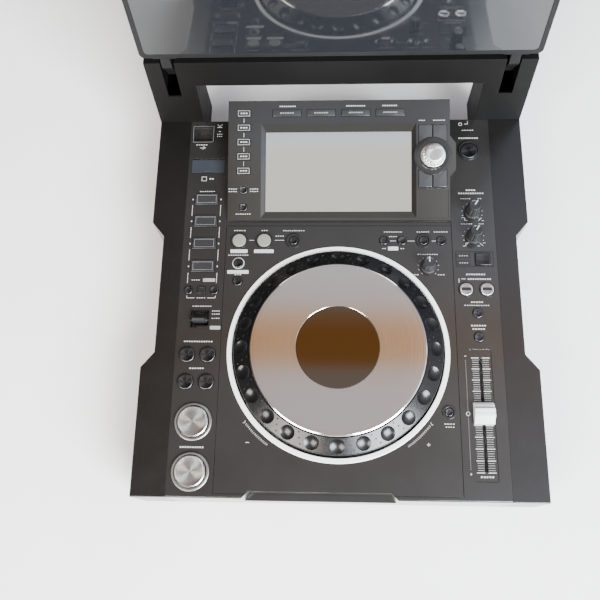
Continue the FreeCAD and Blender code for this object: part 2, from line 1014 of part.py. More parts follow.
def display_housing():
    """The sloping housing around the small display, open underneath."""
    shell = housing_block(0.0, 0.0).cut(housing_block(housing_wall, -1.0))
    collar = rod(selector_x, selector_v, -housing_wall / 2, selector_collar_height, selector_collar_radius)
    shell = joined([shell, on_slope(collar)])
    half = display_width / 2
    low = [
        (-half, display_front),
        (half, display_front),
        (half, display_rear),
        (-half, display_rear),
    ]
    high = [
        (-half - bezel_side, display_front - bezel_front),
        (half + bezel_side, display_front - bezel_front),
        (half + bezel_side, display_rear + bezel_rear),
        (-half - bezel_side, display_rear + bezel_rear),
    ]
    wires = []
    for points, w in ((low, -bezel_depth), (high, 0.0)):
        corners = [V(x, v, w) for x, v in points]
        wires.append(outline_of(corners))
    bezel = Part.makeLoft(wires, True, True)
    middle = (display_front + display_rear) / 2
    window = slope_box(0, middle, display_width, display_rear - display_front, -20, 1)
    tools = [bezel, window]
    room = 2 * fit_gap
    for v in menu_rows():
        tools.append(slope_box(menu_key_x, v, menu_key_width + room, menu_key_depth + room, -20, 5))
    for v in round_menu_places:
        tools.append(rod(menu_key_x, v, -housing_wall - 1, 5, round_menu_radius + fit_gap))
    for x in browse_places():
        tools.append(slope_box(x, browse_row, browse_key_width + room, menu_key_depth + room, -20, 5))
    island = rod(selector_x, selector_v, -20, 20, selector_collar_radius)
    room_width = nav_width + 2 * fit_gap
    room_length = nav_length + 2 * fit_gap
    nav_room = slope_box(selector_x, selector_v, room_width, room_length, -housing_wall - 1, 5)
    tools.append(nav_room.cut(island))
    tools.append(rod(selector_x, selector_v, -20, 5, selector_shaft_radius + fit_gap))
    inset_middle = inset_front + inset_depth / 2
    tools.append(slope_box(selector_x, inset_middle, inset_width, inset_depth, -inset_recess, 5))
    return without(shell, [on_slope(tool) for tool in tools])


def display_panel():
    """The small display: its glass and module in one block, under the housing's face."""
    v = (display_front + display_rear) / 2
    width = display_width + 2 * display_lap
    depth = display_rear - display_front + 2 * display_lap
    return on_slope(slope_box(0, v, width, depth, -housing_wall - display_thick, -housing_wall))


def slope_key(x, v, width, depth):
    """A rectangular key on the slope: its cap through the housing and its flange underneath."""
    under = -housing_wall - press_gap
    cap = slope_box(x, v, width, depth, under, slope_key_height)
    wide = width + 2 * slope_key_flange
    deep = depth + 2 * slope_key_flange
    flange = slope_box(x, v, wide, deep, under - flange_thick, under)
    return on_slope(joined([cap, flange]))


def menu_keys():
    """The column of keys left of the display."""
    under = -housing_wall - press_gap
    pieces = [slope_key(menu_key_x, v, menu_key_width, menu_key_depth) for v in menu_rows()]
    for v in round_menu_places:
        cap = rod(menu_key_x, v, under, slope_key_height, round_menu_radius)
        flange = rod(menu_key_x, v, under - flange_thick, under, round_menu_radius + slope_key_flange)
        pieces.append(on_slope(joined([cap, flange])))
    return Part.makeCompound(pieces)


def browse_keys():
    """The row of keys above the display."""
    pieces = [slope_key(x, browse_row, browse_key_width, menu_key_depth) for x in browse_places()]
    return Part.makeCompound(pieces)


def nav_keys():
    """The four keys around the selector, cut back for its collar."""
    under = -housing_wall - press_gap
    room = rod(selector_x, selector_v, -20, 20, selector_collar_radius + fit_gap)
    pieces = []
    for side in (-1, 1):
        for end in (-1, 1):
            x = selector_x + side * (nav_width / 4 + nav_split / 4)
            v = selector_v + end * (nav_length / 4 + nav_split / 4)
            width = (nav_width - nav_split) / 2
            cap = slope_box(x, v, width, (nav_length - nav_split) / 2, under, slope_key_height)
            lip = v + end * slope_key_flange
            flange = slope_box(x, lip, width, (nav_length - nav_split) / 2, under - flange_thick, under)
            pieces.append(on_slope(joined([cap, flange]).cut(room)))
    return Part.makeCompound(pieces)


def selector_shaft():
    """The shaft that the selector turns on, and that clicks down with it."""
    low = -housing_wall - selector_collar_thick
    collar = rod(selector_x, selector_v, low, -housing_wall - press_gap, selector_shaft_radius + 2)
    shaft = rod(selector_x, selector_v, low, selector_height - selector_cap_thick, selector_shaft_radius)
    return on_slope(joined([shaft, collar]))


def selector_knob():
    """The selector knob: a base ring and a grip with flats all round."""
    low = selector_collar_height + selector_press + fit_gap
    shoulder = low + selector_base_height
    base = rod(selector_x, selector_v, low, shoulder, selector_base_radius)
    rings = [(selector_body_radius, shoulder), (selector_top_radius, selector_height)]
    body = grip(selector_x, selector_v, rings, selector_sides)
    flat_to_centre = math.cos(math.pi / sides_for(selector_shaft_radius))
    bore = (selector_shaft_radius + bearing_gap) / flat_to_centre
    hole = rod(selector_x, selector_v, -1, selector_height - selector_cap_thick + fit_gap, bore)
    return on_slope(joined([base, body]).cut(hole))


def jog_ring():
    """The bright ring around the dial, with a skirt that centres it in the panel."""
    inner = jog_ring_radius - jog_ring_width
    skirt = jog_ring_radius - jog_ring_width / 2
    bevel = 0.5
    top = [
        (jog_ring_radius, 0.0),
        (jog_ring_radius, jog_ring_height - bevel),
        (jog_ring_radius - bevel, jog_ring_height),
    ]
    ring = joined([
        grip(0, jog_y, top, sides_for(jog_ring_radius)),
        rod(0, jog_y, -jog_ring_skirt, 0.0, skirt),
    ])
    return ring.cut(rod(0, jog_y, -jog_ring_skirt - 1, jog_ring_height + 1, inner))


def jog_rim():
    """The turning rim with a ring of finger dimples, its web and its hub."""
    hub_inner = jog_post_radius + bearing_gap
    hub_outer = jog_post_radius + jog_hub_wall
    hub_low = -jog_base_drop + jog_base_thick
    seat = jog_plate_radius + 2 * fit_gap
    shelf = jog_plate_height - jog_plate_thick - jog_press - fit_gap
    inner_wall = seat - jog_shelf_width
    slope = (jog_rim_inner_height - jog_rim_outer_height) / (jog_rim_radius - seat)
    web_low = -jog_skirt_depth
    web_top = web_low + jog_web_thick
    outline = [
        (jog_rim_radius, web_low),
        (jog_rim_radius, jog_rim_outer_height),
        (seat, jog_rim_inner_height),
    ]
    body = grip(0, 0, outline, sides_for(jog_rim_radius))
    ring = (jog_rim_radius + seat) / 2
    height = (jog_rim_outer_height + jog_rim_inner_height) / 2
    tilt_angle = math.atan(slope)
    inward = V(-math.sin(tilt_angle), 0, -math.cos(tilt_angle))
    start = V(ring, 0, height) - inward * dimple_depth
    mouth = outline_of(ring_of_corners(start, inward, 2 * dimple_radius, dimple_sides))
    first = Part.makeLoft([mouth, Part.Vertex(start + inward * 2 * dimple_depth)], True, True)
    tools = []
    for i in range(dimple_count):
        dimple = first.copy()
        dimple.rotate(V(0, 0, 0), V(0, 0, 1), 360 * i / dimple_count)
        tools.append(dimple)
    well = rod(0, 0, shelf, jog_rim_inner_height + 1, seat)
    tools.append(joined([well, rod(0, 0, web_top, shelf, inner_wall)]))
    groove_out = jog_rim_radius - jog_rim_wall
    groove_in = (jog_rim_radius + seat) / 2
    groove_top = jog_rim_outer_height - jog_rim_wall
    groove = rod(0, 0, web_low - 1, groove_top, groove_out)
    tools.append(groove.cut(rod(0, 0, web_low - 2, groove_top + 1, groove_in)))
    rim = joined([without(body, tools), rod(0, 0, hub_low, web_top, hub_outer)])
    rim = rim.cut(Part.makeCylinder(hub_inner, jog_base_drop, V(0, 0, hub_low - 1)))
    rim.translate(V(0, jog_y, 0))
    return rim


def jog_plate():
    """The bright top plate that clicks down under a hand."""
    low = jog_plate_height - jog_plate_thick
    disc = rod(0, jog_y, low, jog_plate_height, jog_plate_radius)
    seat_low = jog_plate_height - jog_window_thick
    seat = rod(0, jog_y, seat_low, jog_plate_height + 1, jog_window_radius + fit_gap)
    return without(disc, [seat, rod(0, jog_y, low - 1, seat_low + 0.1, jog_window_radius - jog_window_lip)])


def jog_window():
    """The tinted window in the middle of the top plate."""
    return rod(0, jog_y, jog_plate_height - jog_window_thick, jog_plate_height, jog_window_radius)


def jog_display():
    """The fixed post of the dial, with the round display that the window shows."""
    foot_top = -jog_base_drop + jog_base_thick - fit_gap
    top = jog_plate_height - jog_plate_thick - jog_press - fit_gap
    disc_low = top - jog_disc_thick
    post = [(jog_post_radius, foot_top), (jog_post_radius, disc_low)]
    return joined([
        rod(0, jog_y, -jog_base_drop, foot_top, jog_base_radius),
        grip(0, jog_y, post, sides_for(jog_post_radius, bearing_gap)),
        rod(0, jog_y, disc_low, top, jog_window_radius - jog_window_lip - 2 * fit_gap),
    ])


def main_key(y):
    """A large round key with a chamfered metal cap."""
    rings = [
        (main_key_radius, -plate - press_gap),
        (main_key_radius, main_key_height - main_key_chamfer),
        (main_key_radius - main_key_chamfer, main_key_height),
    ]
    cap = grip(left_column, y, rings, sides_for(main_key_radius))
    return joined([cap, key_tabs(left_column, y, main_key_radius)])


def direction_lever():
    """The three-way lever, leaning to the front, on a short cross pin."""
    pin_z = -lever_drop
    paddle = box(-lever_width / 2, lever_width / 2, -lever_thick / 2, lever_thick / 2, -2.0, lever_length)
    top_edges = [
        e for e in paddle.Edges
        if abs(e.CenterOfMass.z - lever_length) < 0.01 and abs(e.CenterOfMass.y) > 0.1
    ]
    paddle = paddle.makeChamfer(lever_chamfer, top_edges)
    half = lever_window / 2 - lever_barrel_gap
    barrel = bar(V(-half, 0, 0), V(half, 0, 0), lever_barrel_radius)
    pin_half = lever_window / 2 + lever_pin_end
    pin = bar(V(-pin_half, 0, 0), V(pin_half, 0, 0), lever_pin_radius)
    lever = joined([paddle, barrel, pin])
    lever.rotate(V(0, 0, 0), V(1, 0, 0), lever_tilt)
    lever.translate(V(left_column, lever_y, pin_z))
    return lever


def lever_cradle():
    """The box under the lever's window, with a round seat for each end of its pin."""
    half = lever_window / 2
    outer = box(
        left_column - half - cradle_wall,
        left_column + half + cradle_wall,
        lever_y - half - cradle_wall,
        lever_y + half + cradle_wall,
        -cradle_deep - cradle_wall,
        -plate,
    )
    inner = box(left_column - half, left_column + half, lever_y - half, lever_y + half, -cradle_deep, 5)
    seat_end = lever_pin_end + fit_gap
    seat = Part.makeCylinder(
        lever_pin_radius + bearing_gap,
        lever_window + 2 * seat_end,
        V(left_column - half - seat_end, lever_y, -lever_drop),
        V(1, 0, 0),
    )
    return outer.cut(inner).cut(seat)


def knob(x, y, height):
    """A tall control knob: a round skirt, a grip with flats that narrows upwards, and its shaft."""
    skirt = rod(x, y, fit_gap, fit_gap + knob_skirt, knob_base_radius)
    rings = [(knob_grip_radius, fit_gap + knob_skirt), (knob_top_radius, height)]
    shaft = rod(x, y, -knob_shaft_drop, fit_gap + 0.1, knob_shaft_radius)
    return joined([skirt, grip(x, y, rings, knob_sides), shaft])


def tempo_fader():
    """The fader cap with its raised middle and the stem through the slot."""
    low = -fader_recess_depth + fit_gap
    half_w = fader_cap_width / 2
    half_l = fader_cap_length / 2
    side = [
        (fader_y - half_l, low),
        (fader_y - half_l, fader_cap_height - 3.5),
        (fader_y - fader_ridge / 2 - 1.0, fader_cap_height - 1.0),
        (fader_y - fader_ridge / 2, fader_ridge_height),
        (fader_y + fader_ridge / 2, fader_ridge_height),
        (fader_y + fader_ridge / 2 + 1.0, fader_cap_height - 1.0),
        (fader_y + half_l, fader_cap_height - 3.5),
        (fader_y + half_l, low),
    ]
    cap = side_prism(side, right_column - half_w, right_column + half_w)
    stem = box(
        right_column - fader_stem_thick / 2,
        right_column + fader_stem_thick / 2,
        fader_y - fader_stem_length / 2,
        fader_y + fader_stem_length / 2,
        -plate - 8.0,
        low + 1.0,
    )
    runner_half = fader_unit_width / 2 - fader_unit_wall - fit_gap
    runner = box(
        right_column - runner_half,
        right_column + runner_half,
        fader_y - fader_stem_length / 2 - 1,
        fader_y + fader_stem_length / 2 + 1,
        -plate - 8.0,
        -plate - 4.0,
    )
    return joined([cap, stem, runner])


def fader_unit():
    """The metal channel under the deck that guides the fader's runner."""
    half_w = fader_unit_width / 2
    half_l = fader_slot_length / 2 + fader_unit_end
    low = -plate - fader_unit_depth
    outer = box(
        right_column - half_w, right_column + half_w, fader_y - half_l, fader_y + half_l, low, -plate
    )
    inner = box(
        right_column - half_w + fader_unit_wall,
        right_column + half_w - fader_unit_wall,
        fader_y - half_l + fader_unit_wall,
        fader_y + half_l - fader_unit_wall,
        low + fader_unit_wall,
        -plate - fader_unit_wall,
    )
    slot = box(
        right_column - fader_slot_width / 2,
        right_column + fader_slot_width / 2,
        fader_y - fader_slot_length / 2,
        fader_y + fader_slot_length / 2,
        -plate - 2 * fader_unit_wall,
        0,
    )
    return without(outer, [inner, slot])


def card_door():
    """The card slot's door, on a barrel along its rear edge."""
    half_w = door_width / 2
    rear = door_y + door_depth / 2
    leaf = box(
        door_x - half_w, door_x + half_w, door_y - door_depth / 2, rear - door_barrel, -door_thick, 0
    )
    pivot = V(door_x - half_w, rear - door_barrel, -door_barrel)
    barrel = bar(pivot, pivot + V(door_width, 0, 0), door_barrel)
    grip = box(door_x - 5, door_x + 5, door_y - door_depth / 2 - 1, door_y - door_depth / 2 + 1.2, -0.8, 1)
    return joined([leaf, barrel]).cut(grip)


def screen_shell():
    """The tray of the fold-down screen."""
    block = rounded_block(
        -half_width, half_width, arm_reach, screen_top, screen_back, screen_face, screen_corner
    )
    half_glass = half_width - screen_glass_margin
    glass_seat = rounded_block(
        -half_glass,
        half_glass,
        arm_reach + screen_glass_margin,
        screen_top - screen_glass_margin,
        screen_face - screen_glass_thick,
        screen_face + 1,
        screen_corner - 2.0,
    )
    cavity = box(
        -half_glass + screen_wall,
        half_glass - screen_wall,
        arm_reach + screen_glass_margin + screen_wall,
        screen_top - screen_glass_margin - screen_wall,
        screen_back + screen_wall,
        screen_face,
    )
    return on_screen(without(block, [glass_seat, cavity]))


def screen_panel():
    """The screen's cover glass with the display module bonded behind it."""
    half_glass = half_width - screen_glass_margin - fit_gap
    glass = rounded_block(
        -half_glass,
        half_glass,
        arm_reach + screen_glass_margin + fit_gap,
        screen_top - screen_glass_margin - fit_gap,
        screen_face - screen_glass_thick,
        screen_face,
        screen_corner - 2.0,
    )
    module = box(
        -half_glass + screen_module_side,
        half_glass - screen_module_side,
        arm_reach + screen_glass_margin + screen_module_end,
        screen_top - screen_glass_margin - screen_module_end,
        screen_face - screen_glass_thick - screen_module_thick,
        screen_face - screen_glass_thick,
    )
    return on_screen(joined([glass, module]))


def screen_arms():
    """The two hinge arms of the screen, each with its pin and the flange that bolts to the tray."""
    arms = []
    for side in (-1, 1):
        centre = side * arm_x
        outline = [
            (0.0, -arm_eye_radius),
            (arm_reach - arm_flange, screen_back),
            (arm_reach - arm_flange, screen_face - 2.0),
            (arm_reach * 0.55, screen_face - 2.0),
            (0.0, arm_eye_radius),
        ]
        web = side_prism(outline, centre - arm_width / 2, centre + arm_width / 2)
        eye = bar(V(centre - arm_width / 2, 0, 0), V(centre + arm_width / 2, 0, 0), arm_eye_radius)
        pin_half = (arm_slot_width + 3 * hinge_rib) / 2
        pin = bar(V(centre - pin_half, 0, 0), V(centre + pin_half, 0, 0), hinge_pin_radius)
        half_flange = arm_flange_width / 2
        flange = box(
            centre - half_flange,
            centre + half_flange,
            arm_reach - arm_flange,
            arm_reach,
            screen_back + 1.0,
            screen_face - 1.0,
        )
        arms.append(on_screen(joined([web, eye, pin, flange])))
    return Part.makeCompound(arms)


def feet():
    """Four rubber feet under the base pan."""
    table = base_z - foot_height
    rings = [(foot_radius - foot_chamfer, table), (foot_radius, table + foot_chamfer), (foot_radius, base_z)]
    pieces = []
    for side in (-1, 1):
        for y in (foot_inset, body_depth - foot_inset):
            pieces.append(grip(side * (half_body - foot_inset), y, rings, sides_for(foot_radius)))
    return Part.makeCompound(pieces)


def disc_drive():
    """The slot-in drive: a closed case with a flat bay that the disc slides into."""
    front = drive_front()
    top = -jog_base_drop
    case = box(
        scoop_centre - drive_width / 2,
        scoop_centre + drive_width / 2,
        front,
        front + drive_depth,
        top - drive_height,
        top,
    )
    bay = slot_tool(front - 1, front + disc_diameter + bay_end)
    return case.cut(bay)


def main_board():
    """The main circuit board with its larger packages."""
    x0 = board_x0()
    x1 = board_x1()
    y0 = board_y0()
    y1 = board_y1()
    low = board_bottom()
    board = box(x0, x1, y0, y1, low, low + board_thick)
    base = low + board_thick / 2
    chip_top = low + board_thick + chip_height
    header_top = low + board_thick + header_height
    middle = (x0 + x1) / 2
    chip_y = (y0 + y1) / 2
    pieces = [board]
    for x in (middle - 1.5 * chip_size, middle + 0.5 * chip_size):
        pieces.append(box(x, x + chip_size, chip_y, chip_y + chip_size, base, chip_top))
    for x in (x0 + header_length, x1 - 2 * header_length):
        pieces.append(box(x, x + header_length, y1 - 2 * header_width, y1 - header_width, base, header_top))
    return joined(pieces)


def power_supply():
    """The caged power supply behind the mains inlet."""
    x1 = supply_x1()
    y1 = body_depth - pan_sheet - inlet_recess - socket_wall - 4.0
    low = base_z + pan_sheet
    cage = box(x1 - supply_width, x1, y1 - supply_depth, y1, low, low + supply_height)
    top = low + supply_height
    vents = []
    for i in range(vent_count):
        x = x1 - supply_width + (i + 1) * vent_pitch
        vents.append(box(x, x + vent_width, y1 - supply_depth + 15, y1 - 15, top - 2, top + 1))
    return without(cage, vents)


def socket_box(x, width, height, recess):
    """A socket body behind the rear wall, open to the rear."""
    outer = rear_box(x, width, height, body_depth - recess - socket_wall, body_depth + socket_proud)
    inner_width = width - 2 * socket_wall
    inner_height = height - 2 * socket_wall
    return outer.cut(rear_box(x, inner_width, inner_height, body_depth - recess, body_depth + 5))


def rear_sockets():
    """The mains inlet, network and data sockets, and the three round audio jacks."""
    pieces = [
        socket_box(inlet_x, inlet_width, inlet_height, inlet_recess),
        socket_box(lan_x, lan_width, lan_height, lan_recess),
        socket_box(port_x, port_size, port_size, lan_recess),
    ]
    for i in range(3):
        x = jack_x - i * jack_spacing
        foot = V(x, body_depth, rear_row)
        floor = foot + V(0, jack_collar_thick, 0)
        tip = foot + V(0, jack_length, 0)
        barrel = joined([bar(foot, tip, jack_radius), bar(foot, floor, jack_collar_radius)])
        pieces.append(barrel.cut(bar(floor, tip, jack_radius - jack_wall)))
    return Part.makeCompound(pieces)


def power_button():
    """The square power switch cap on the rear wall, with its flange inside."""
    inside = body_depth - pan_sheet - press_gap
    cap = rear_box(power_x, power_size, power_size, inside, body_depth + power_proud)
    wide = power_size + 2 * power_flange
    return joined([cap, rear_box(power_x, wide, wide, inside - power_flange, inside)])


def bank_keys():
    """The two round call keys with the square key between them."""
    pieces = [square_key(left_column, bank_y, bank_square, bank_square, small_key_height)]
    for side in (-1, 1):
        pieces.append(round_key(left_column + side * bank_spacing, bank_y, bank_radius, small_key_height))
    return Part.makeCompound(pieces)


def cue_call_keys():
    """The two small call keys behind the dial on the right."""
    pieces = [round_key(x, y, call_radius, small_key_height) for x, y in call_places]
    return Part.makeCompound(pieces)


def all_nodes():
    """Every piece by its name."""
    right_side = side_frame()
    nodes = {
        "base_pan": base_pan(),
        "top_cover": joined([top_cover(), lever_cradle()]),
        "centre_panel": centre_panel(),
        "side_frame_left": mirrored(right_side),
        "side_frame_right": right_side,
        "riser": riser(),
        "display_housing": display_housing(),
        "display_panel": display_panel(),
        "feet": feet(),
        "jog_ring": jog_ring(),
        "jog_display": jog_display(),
        "fader_unit": fader_unit(),
        "disc_drive": disc_drive(),
        "main_board": main_board(),
        "power_supply": power_supply(),
        "rear_sockets": rear_sockets(),
        "jog_rim": jog_rim(),
        "jog_plate": jog_plate(),
        "jog_window": jog_window(),
        "selector_shaft": selector_shaft(),
        "selector_knob": selector_knob(),
        "cue_key": main_key(cue_y),
        "play_key": main_key(play_y),
        "bank_keys": bank_keys(),
        "direction_lever": direction_lever(),
        "cue_call_keys": cue_call_keys(),
        "jog_mode_key": square_key(*jog_mode_place),
        "jog_adjust_knob": knob(*jog_adjust_place, jog_adjust_height),
        "tempo_fader": tempo_fader(),
        "power_button": power_button(),
        "card_door": card_door(),
        "menu_keys": menu_keys(),
        "browse_keys": browse_keys(),
        "nav_keys": nav_keys(),
        "screen_shell": screen_shell(),
        "screen_panel": screen_panel(),
        "screen_arms": screen_arms(),
    }
    for i, letter in enumerate("dcba"):
        nodes["cue_pad_" + letter] = square_key(left_column, pad_centre(i), pad_width, pad_depth, pad_height)
    for name, (x, y, radius, height) in round_keys.items():
        nodes[name] = round_key(x, y, radius, height)
    for name, (x, y) in speed_places.items():
        nodes[name] = knob(x, y, knob_height)
    return nodes


def to_row(piece):
    """Moves a piece from deck coordinates to the part's own origin."""
    moved = piece.copy()
    moved.translate(V(0, -mid_y, deck_height))
    return moved


os.makedirs("parts", exist_ok=True)
for name, piece in all_nodes().items():
    placed = to_row(piece)
    if not placed.isValid():
        print("not valid:", name)
    placed.exportStep("parts/" + name + ".step")
    print(name, len(placed.Solids), round(placed.Volume / 1000, 2), "cm3")
print("hinge pin at Y", round(pivot_y - mid_y, 3), "Z", round(pivot_z + deck_height, 3))
print("middle of the part is", round(mid_y, 3), "behind the front face")
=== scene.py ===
# %% [markdown]
# A club disc player lies on a pale table and is seen from above its front edge. Its big dial, two
# silver transport keys, a tempo slider and a tilted display sit in a dark satin deck, and a sheet
# metal riser behind the deck holds a screen that folds down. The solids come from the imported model,
# which fixes every size. The lesson dresses them: first the room, then the finishes, then each
# piece that needs finer shapes than the solids have.

# %% Load the solids and measure the deck
import json
import math

import bmesh
import bpy
from mathutils import Matrix, Vector


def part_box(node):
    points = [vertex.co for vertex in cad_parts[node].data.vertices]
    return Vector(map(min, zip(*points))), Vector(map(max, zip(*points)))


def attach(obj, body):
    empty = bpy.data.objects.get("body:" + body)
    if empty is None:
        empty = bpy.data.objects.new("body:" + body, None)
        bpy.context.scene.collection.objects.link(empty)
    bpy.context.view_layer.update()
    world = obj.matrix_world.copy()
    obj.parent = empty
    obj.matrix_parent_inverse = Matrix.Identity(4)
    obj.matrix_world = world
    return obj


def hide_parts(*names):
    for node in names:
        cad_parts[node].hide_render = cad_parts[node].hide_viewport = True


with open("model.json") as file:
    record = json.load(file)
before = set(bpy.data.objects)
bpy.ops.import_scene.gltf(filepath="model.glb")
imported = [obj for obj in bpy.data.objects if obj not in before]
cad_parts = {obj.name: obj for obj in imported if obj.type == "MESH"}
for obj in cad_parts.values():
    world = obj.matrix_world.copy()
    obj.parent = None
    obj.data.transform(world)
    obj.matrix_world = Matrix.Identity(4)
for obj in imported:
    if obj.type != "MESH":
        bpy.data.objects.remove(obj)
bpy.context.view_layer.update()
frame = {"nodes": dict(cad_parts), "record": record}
solids = frame["nodes"]
mm = 0.001
deck_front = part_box("top_cover")[0].y
deck_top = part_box("centre_panel")[1].z


def place(x, y, z=0.0):
    """A point given in millimetres: across from the centre line, back from the front face, up from the deck."""
    return Vector((x * mm, deck_front + y * mm, deck_top + z * mm))


def middle(node):
    """The middle of a solid's box."""
    low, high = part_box(node)
    return (low + high) / 2


# %% [markdown]
# Blender's operators act on whatever is selected, so each step starts by clearing the selection and
# picks faces or edges by where they are and which way they look. These few helpers do that, and
# everything later is made by adding a primitive and shaping it with them.


# %% Helpers for modelling with operators
def clear_selection():
    """Leaves edit mode and selects nothing."""
    if bpy.context.object and bpy.context.object.mode != "OBJECT":
        bpy.ops.object.mode_set(mode="OBJECT")
    bpy.ops.object.select_all(action="DESELECT")


def begin(name):
    """Names the primitive that was just added and opens it for editing with nothing selected."""
    piece = bpy.context.object
    piece.name = name
    piece.data.name = name
    bpy.ops.object.mode_set(mode="EDIT")
    bpy.ops.mesh.select_all(action="DESELECT")
    return piece


def pick_faces(test):
    """Selects the faces whose middle and normal pass the test."""
    mesh = bmesh.from_edit_mesh(bpy.context.object.data)
    bpy.ops.mesh.select_mode(type="FACE")
    bpy.ops.mesh.select_all(action="DESELECT")
    mesh = bmesh.from_edit_mesh(bpy.context.object.data)
    found = [f for f in mesh.faces if test(f.calc_center_median(), f.normal)]
    for face in found:
        face.select_set(True)
    bmesh.update_edit_mesh(bpy.context.object.data)
    return len(found)


def pick_edges(test):
    """Selects the edges whose two ends pass the test."""
    bpy.ops.mesh.select_mode(type="EDGE")
    bpy.ops.mesh.select_all(action="DESELECT")
    mesh = bmesh.from_edit_mesh(bpy.context.object.data)
    found = [e for e in mesh.edges if test(e.verts[0].co, e.verts[1].co)]
    for edge in found:
        edge.select_set(True)
    bmesh.update_edit_mesh(bpy.context.object.data)
    return len(found)


def done(piece, angle=30.0):
    """Closes the piece: normals out, place kept in the mesh, and shading split at sharp edges."""
    bpy.ops.object.mode_set(mode="EDIT")
    bpy.ops.mesh.select_all(action="SELECT")
    bpy.ops.mesh.remove_doubles(threshold=0.000002)
    bpy.ops.mesh.normals_make_consistent(inside=False)
    bpy.ops.object.mode_set(mode="OBJECT")
    bpy.ops.object.transform_apply(location=True, rotation=True, scale=True)
    bpy.ops.object.shade_smooth_by_angle(angle=math.radians(angle))
    bpy.ops.object.select_all(action="DESELECT")
    return piece


def lathe(name, outline, centre, steps=96, angle=30.0):
    """Turns a piece from (radius, height) pairs: a ring of edges is extruded, resized and raised.

    A radius of zero closes the piece at its axis. An outline that ends where it starts is a ring.
    """
    clear_selection()
    radius, height = outline[0]
    start = max(radius, 0.00001)
    spot = centre + Vector((0, 0, height))
    bpy.ops.mesh.primitive_circle_add(vertices=steps, radius=start, location=spot, fill_type="NOTHING")
    piece = begin(name)
    bpy.ops.mesh.select_all(action="SELECT")
    for new_radius, new_height in outline[1:]:
        grow = max(new_radius, 0.00001) / max(radius, 0.00001)
        bpy.ops.mesh.extrude_edges_move()
        bpy.ops.transform.resize(value=(grow, grow, 1), center_override=centre + Vector((0, 0, height)))
        bpy.ops.transform.translate(value=(0, 0, new_height - height))
        radius, height = new_radius, new_height
    bpy.ops.mesh.select_all(action="SELECT")
    bpy.ops.mesh.remove_doubles(threshold=0.000025)
    return done(piece, angle)


def copy_of(piece, name, shift):
    """A copy with its own mesh, moved by a vector inside that mesh."""
    twin = piece.copy()
    twin.data = piece.data.copy()
    twin.name = name
    twin.data.name = name
    twin.data.transform(Matrix.Translation(shift))
    bpy.context.scene.collection.objects.link(twin)
    return twin


def join(pieces, name):
    """Several finished pieces made one."""
    clear_selection()
    for piece in pieces:
        piece.select_set(True)
    bpy.context.view_layer.objects.active = pieces[0]
    bpy.ops.object.join()
    whole = bpy.context.object
    whole.name = name
    whole.data.name = name
    whole.select_set(False)
    return whole


def dress(piece, material, body, *nodes, slot=None):
    """Gives a piece its finish and its body, and hides the solids that it stands for."""
    piece.data.materials.clear()
    piece.data.materials.append(material)
    if nodes:
        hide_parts(*nodes)
    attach(piece, body)
    return piece


# %% [markdown]
# The room is a pale table top and soft light. The dial and the small display are mirrors, so what
# they reflect matters as much as their own colour: the dial looks up and back at a pinkish wall with
# a warm wooden band, and the display looks straight up at a pale ceiling. The world is that room,
# painted by direction. It is a plain gradient, so it looks right from every side.

# %% The table, the camera and the lamps
clear_selection()
table_size = 6.0
bpy.ops.mesh.primitive_plane_add(size=table_size, location=(0, 0.6, 0))
table = begin("table_top")
bpy.ops.mesh.select_all(action="SELECT")
bpy.ops.mesh.subdivide(number_cuts=4)
bpy.ops.object.mode_set(mode="OBJECT")
bpy.ops.object.transform_apply(location=True)

lens_data = bpy.data.cameras.new("camera")
lens_data.lens = 45.2195
lens_data.sensor_width = 36.0
camera = bpy.data.objects.new("camera", lens_data)
camera.location = (-0.00082065, -0.27519064, 0.79841571)
camera.rotation_euler = [math.radians(a) for a in (18.1512, 2.6126, 1.0570)]
bpy.context.scene.collection.objects.link(camera)
bpy.context.scene.camera = camera


def lamp(name, where, aim, size, watts, colour, height=None):
    """A soft panel of light that looks at a point."""
    data = bpy.data.lights.new(name, "AREA")
    data.shape = "RECTANGLE" if height else "SQUARE"
    data.size = size
    if height:
        data.size_y = height
    data.energy = watts
    data.color = colour
    obj = bpy.data.objects.new(name, data)
    obj.location = where
    obj.rotation_euler = (Vector(aim) - Vector(where)).to_track_quat("-Z", "Y").to_euler()
    bpy.context.scene.collection.objects.link(obj)
    return obj


window = lamp("window_light", (1.2, -1.6, 1.7), (0, 0, 0), 1.4, 330, (0.88, 0.94, 1.0))
fill = lamp("room_light", (-1.1, -1.5, 1.7), (0, 0, 0), 1.2, 110, (1.0, 0.94, 0.86))
print("camera", [round(v, 3) for v in camera.location], "lamps", window.name, fill.name)


# %% The world, painted by direction
def ramp_stops(ramp, stops):
    """Fills a colour ramp with (position, colour) pairs."""
    band = ramp.color_ramp
    while len(band.elements) > len(stops):
        band.elements.remove(band.elements[-1])
    while len(band.elements) < len(stops):
        band.elements.new(1.0)
    for element, (position, colour) in zip(band.elements, stops):
        element.position = position
        element.color = (*colour, 1.0)


world = bpy.data.worlds.new("soft_room")
world.use_nodes = True
bpy.context.scene.world = world
sky = world.node_tree.nodes
sky_links = world.node_tree.links
where = sky.new("ShaderNodeTexCoord")
split = sky.new("ShaderNodeSeparateXYZ")
sky_links.new(where.outputs["Generated"], split.inputs[0])
height = sky.new("ShaderNodeMath")
height.operation = "MAXIMUM"
height.inputs[1].default_value = 0.05
sky_links.new(split.outputs["Z"], height.inputs[0])
back = sky.new("ShaderNodeMath")
back.operation = "DIVIDE"
sky_links.new(split.outputs["Y"], back.inputs[0])
sky_links.new(height.outputs[0], back.inputs[1])
slope = sky.new("ShaderNodeMapRange")
slope.inputs["From Min"].default_value = -0.5
slope.inputs["From Max"].default_value = 1.5
sky_links.new(back.outputs[0], slope.inputs["Value"])
wall = sky.new("ShaderNodeValToRGB")
sky_links.new(slope.outputs[0], wall.inputs[0])
pinkish = (0.50, 0.47, 0.475)
ceiling = (0.78, 0.76, 0.70)
wood = (0.50, 0.25, 0.085)
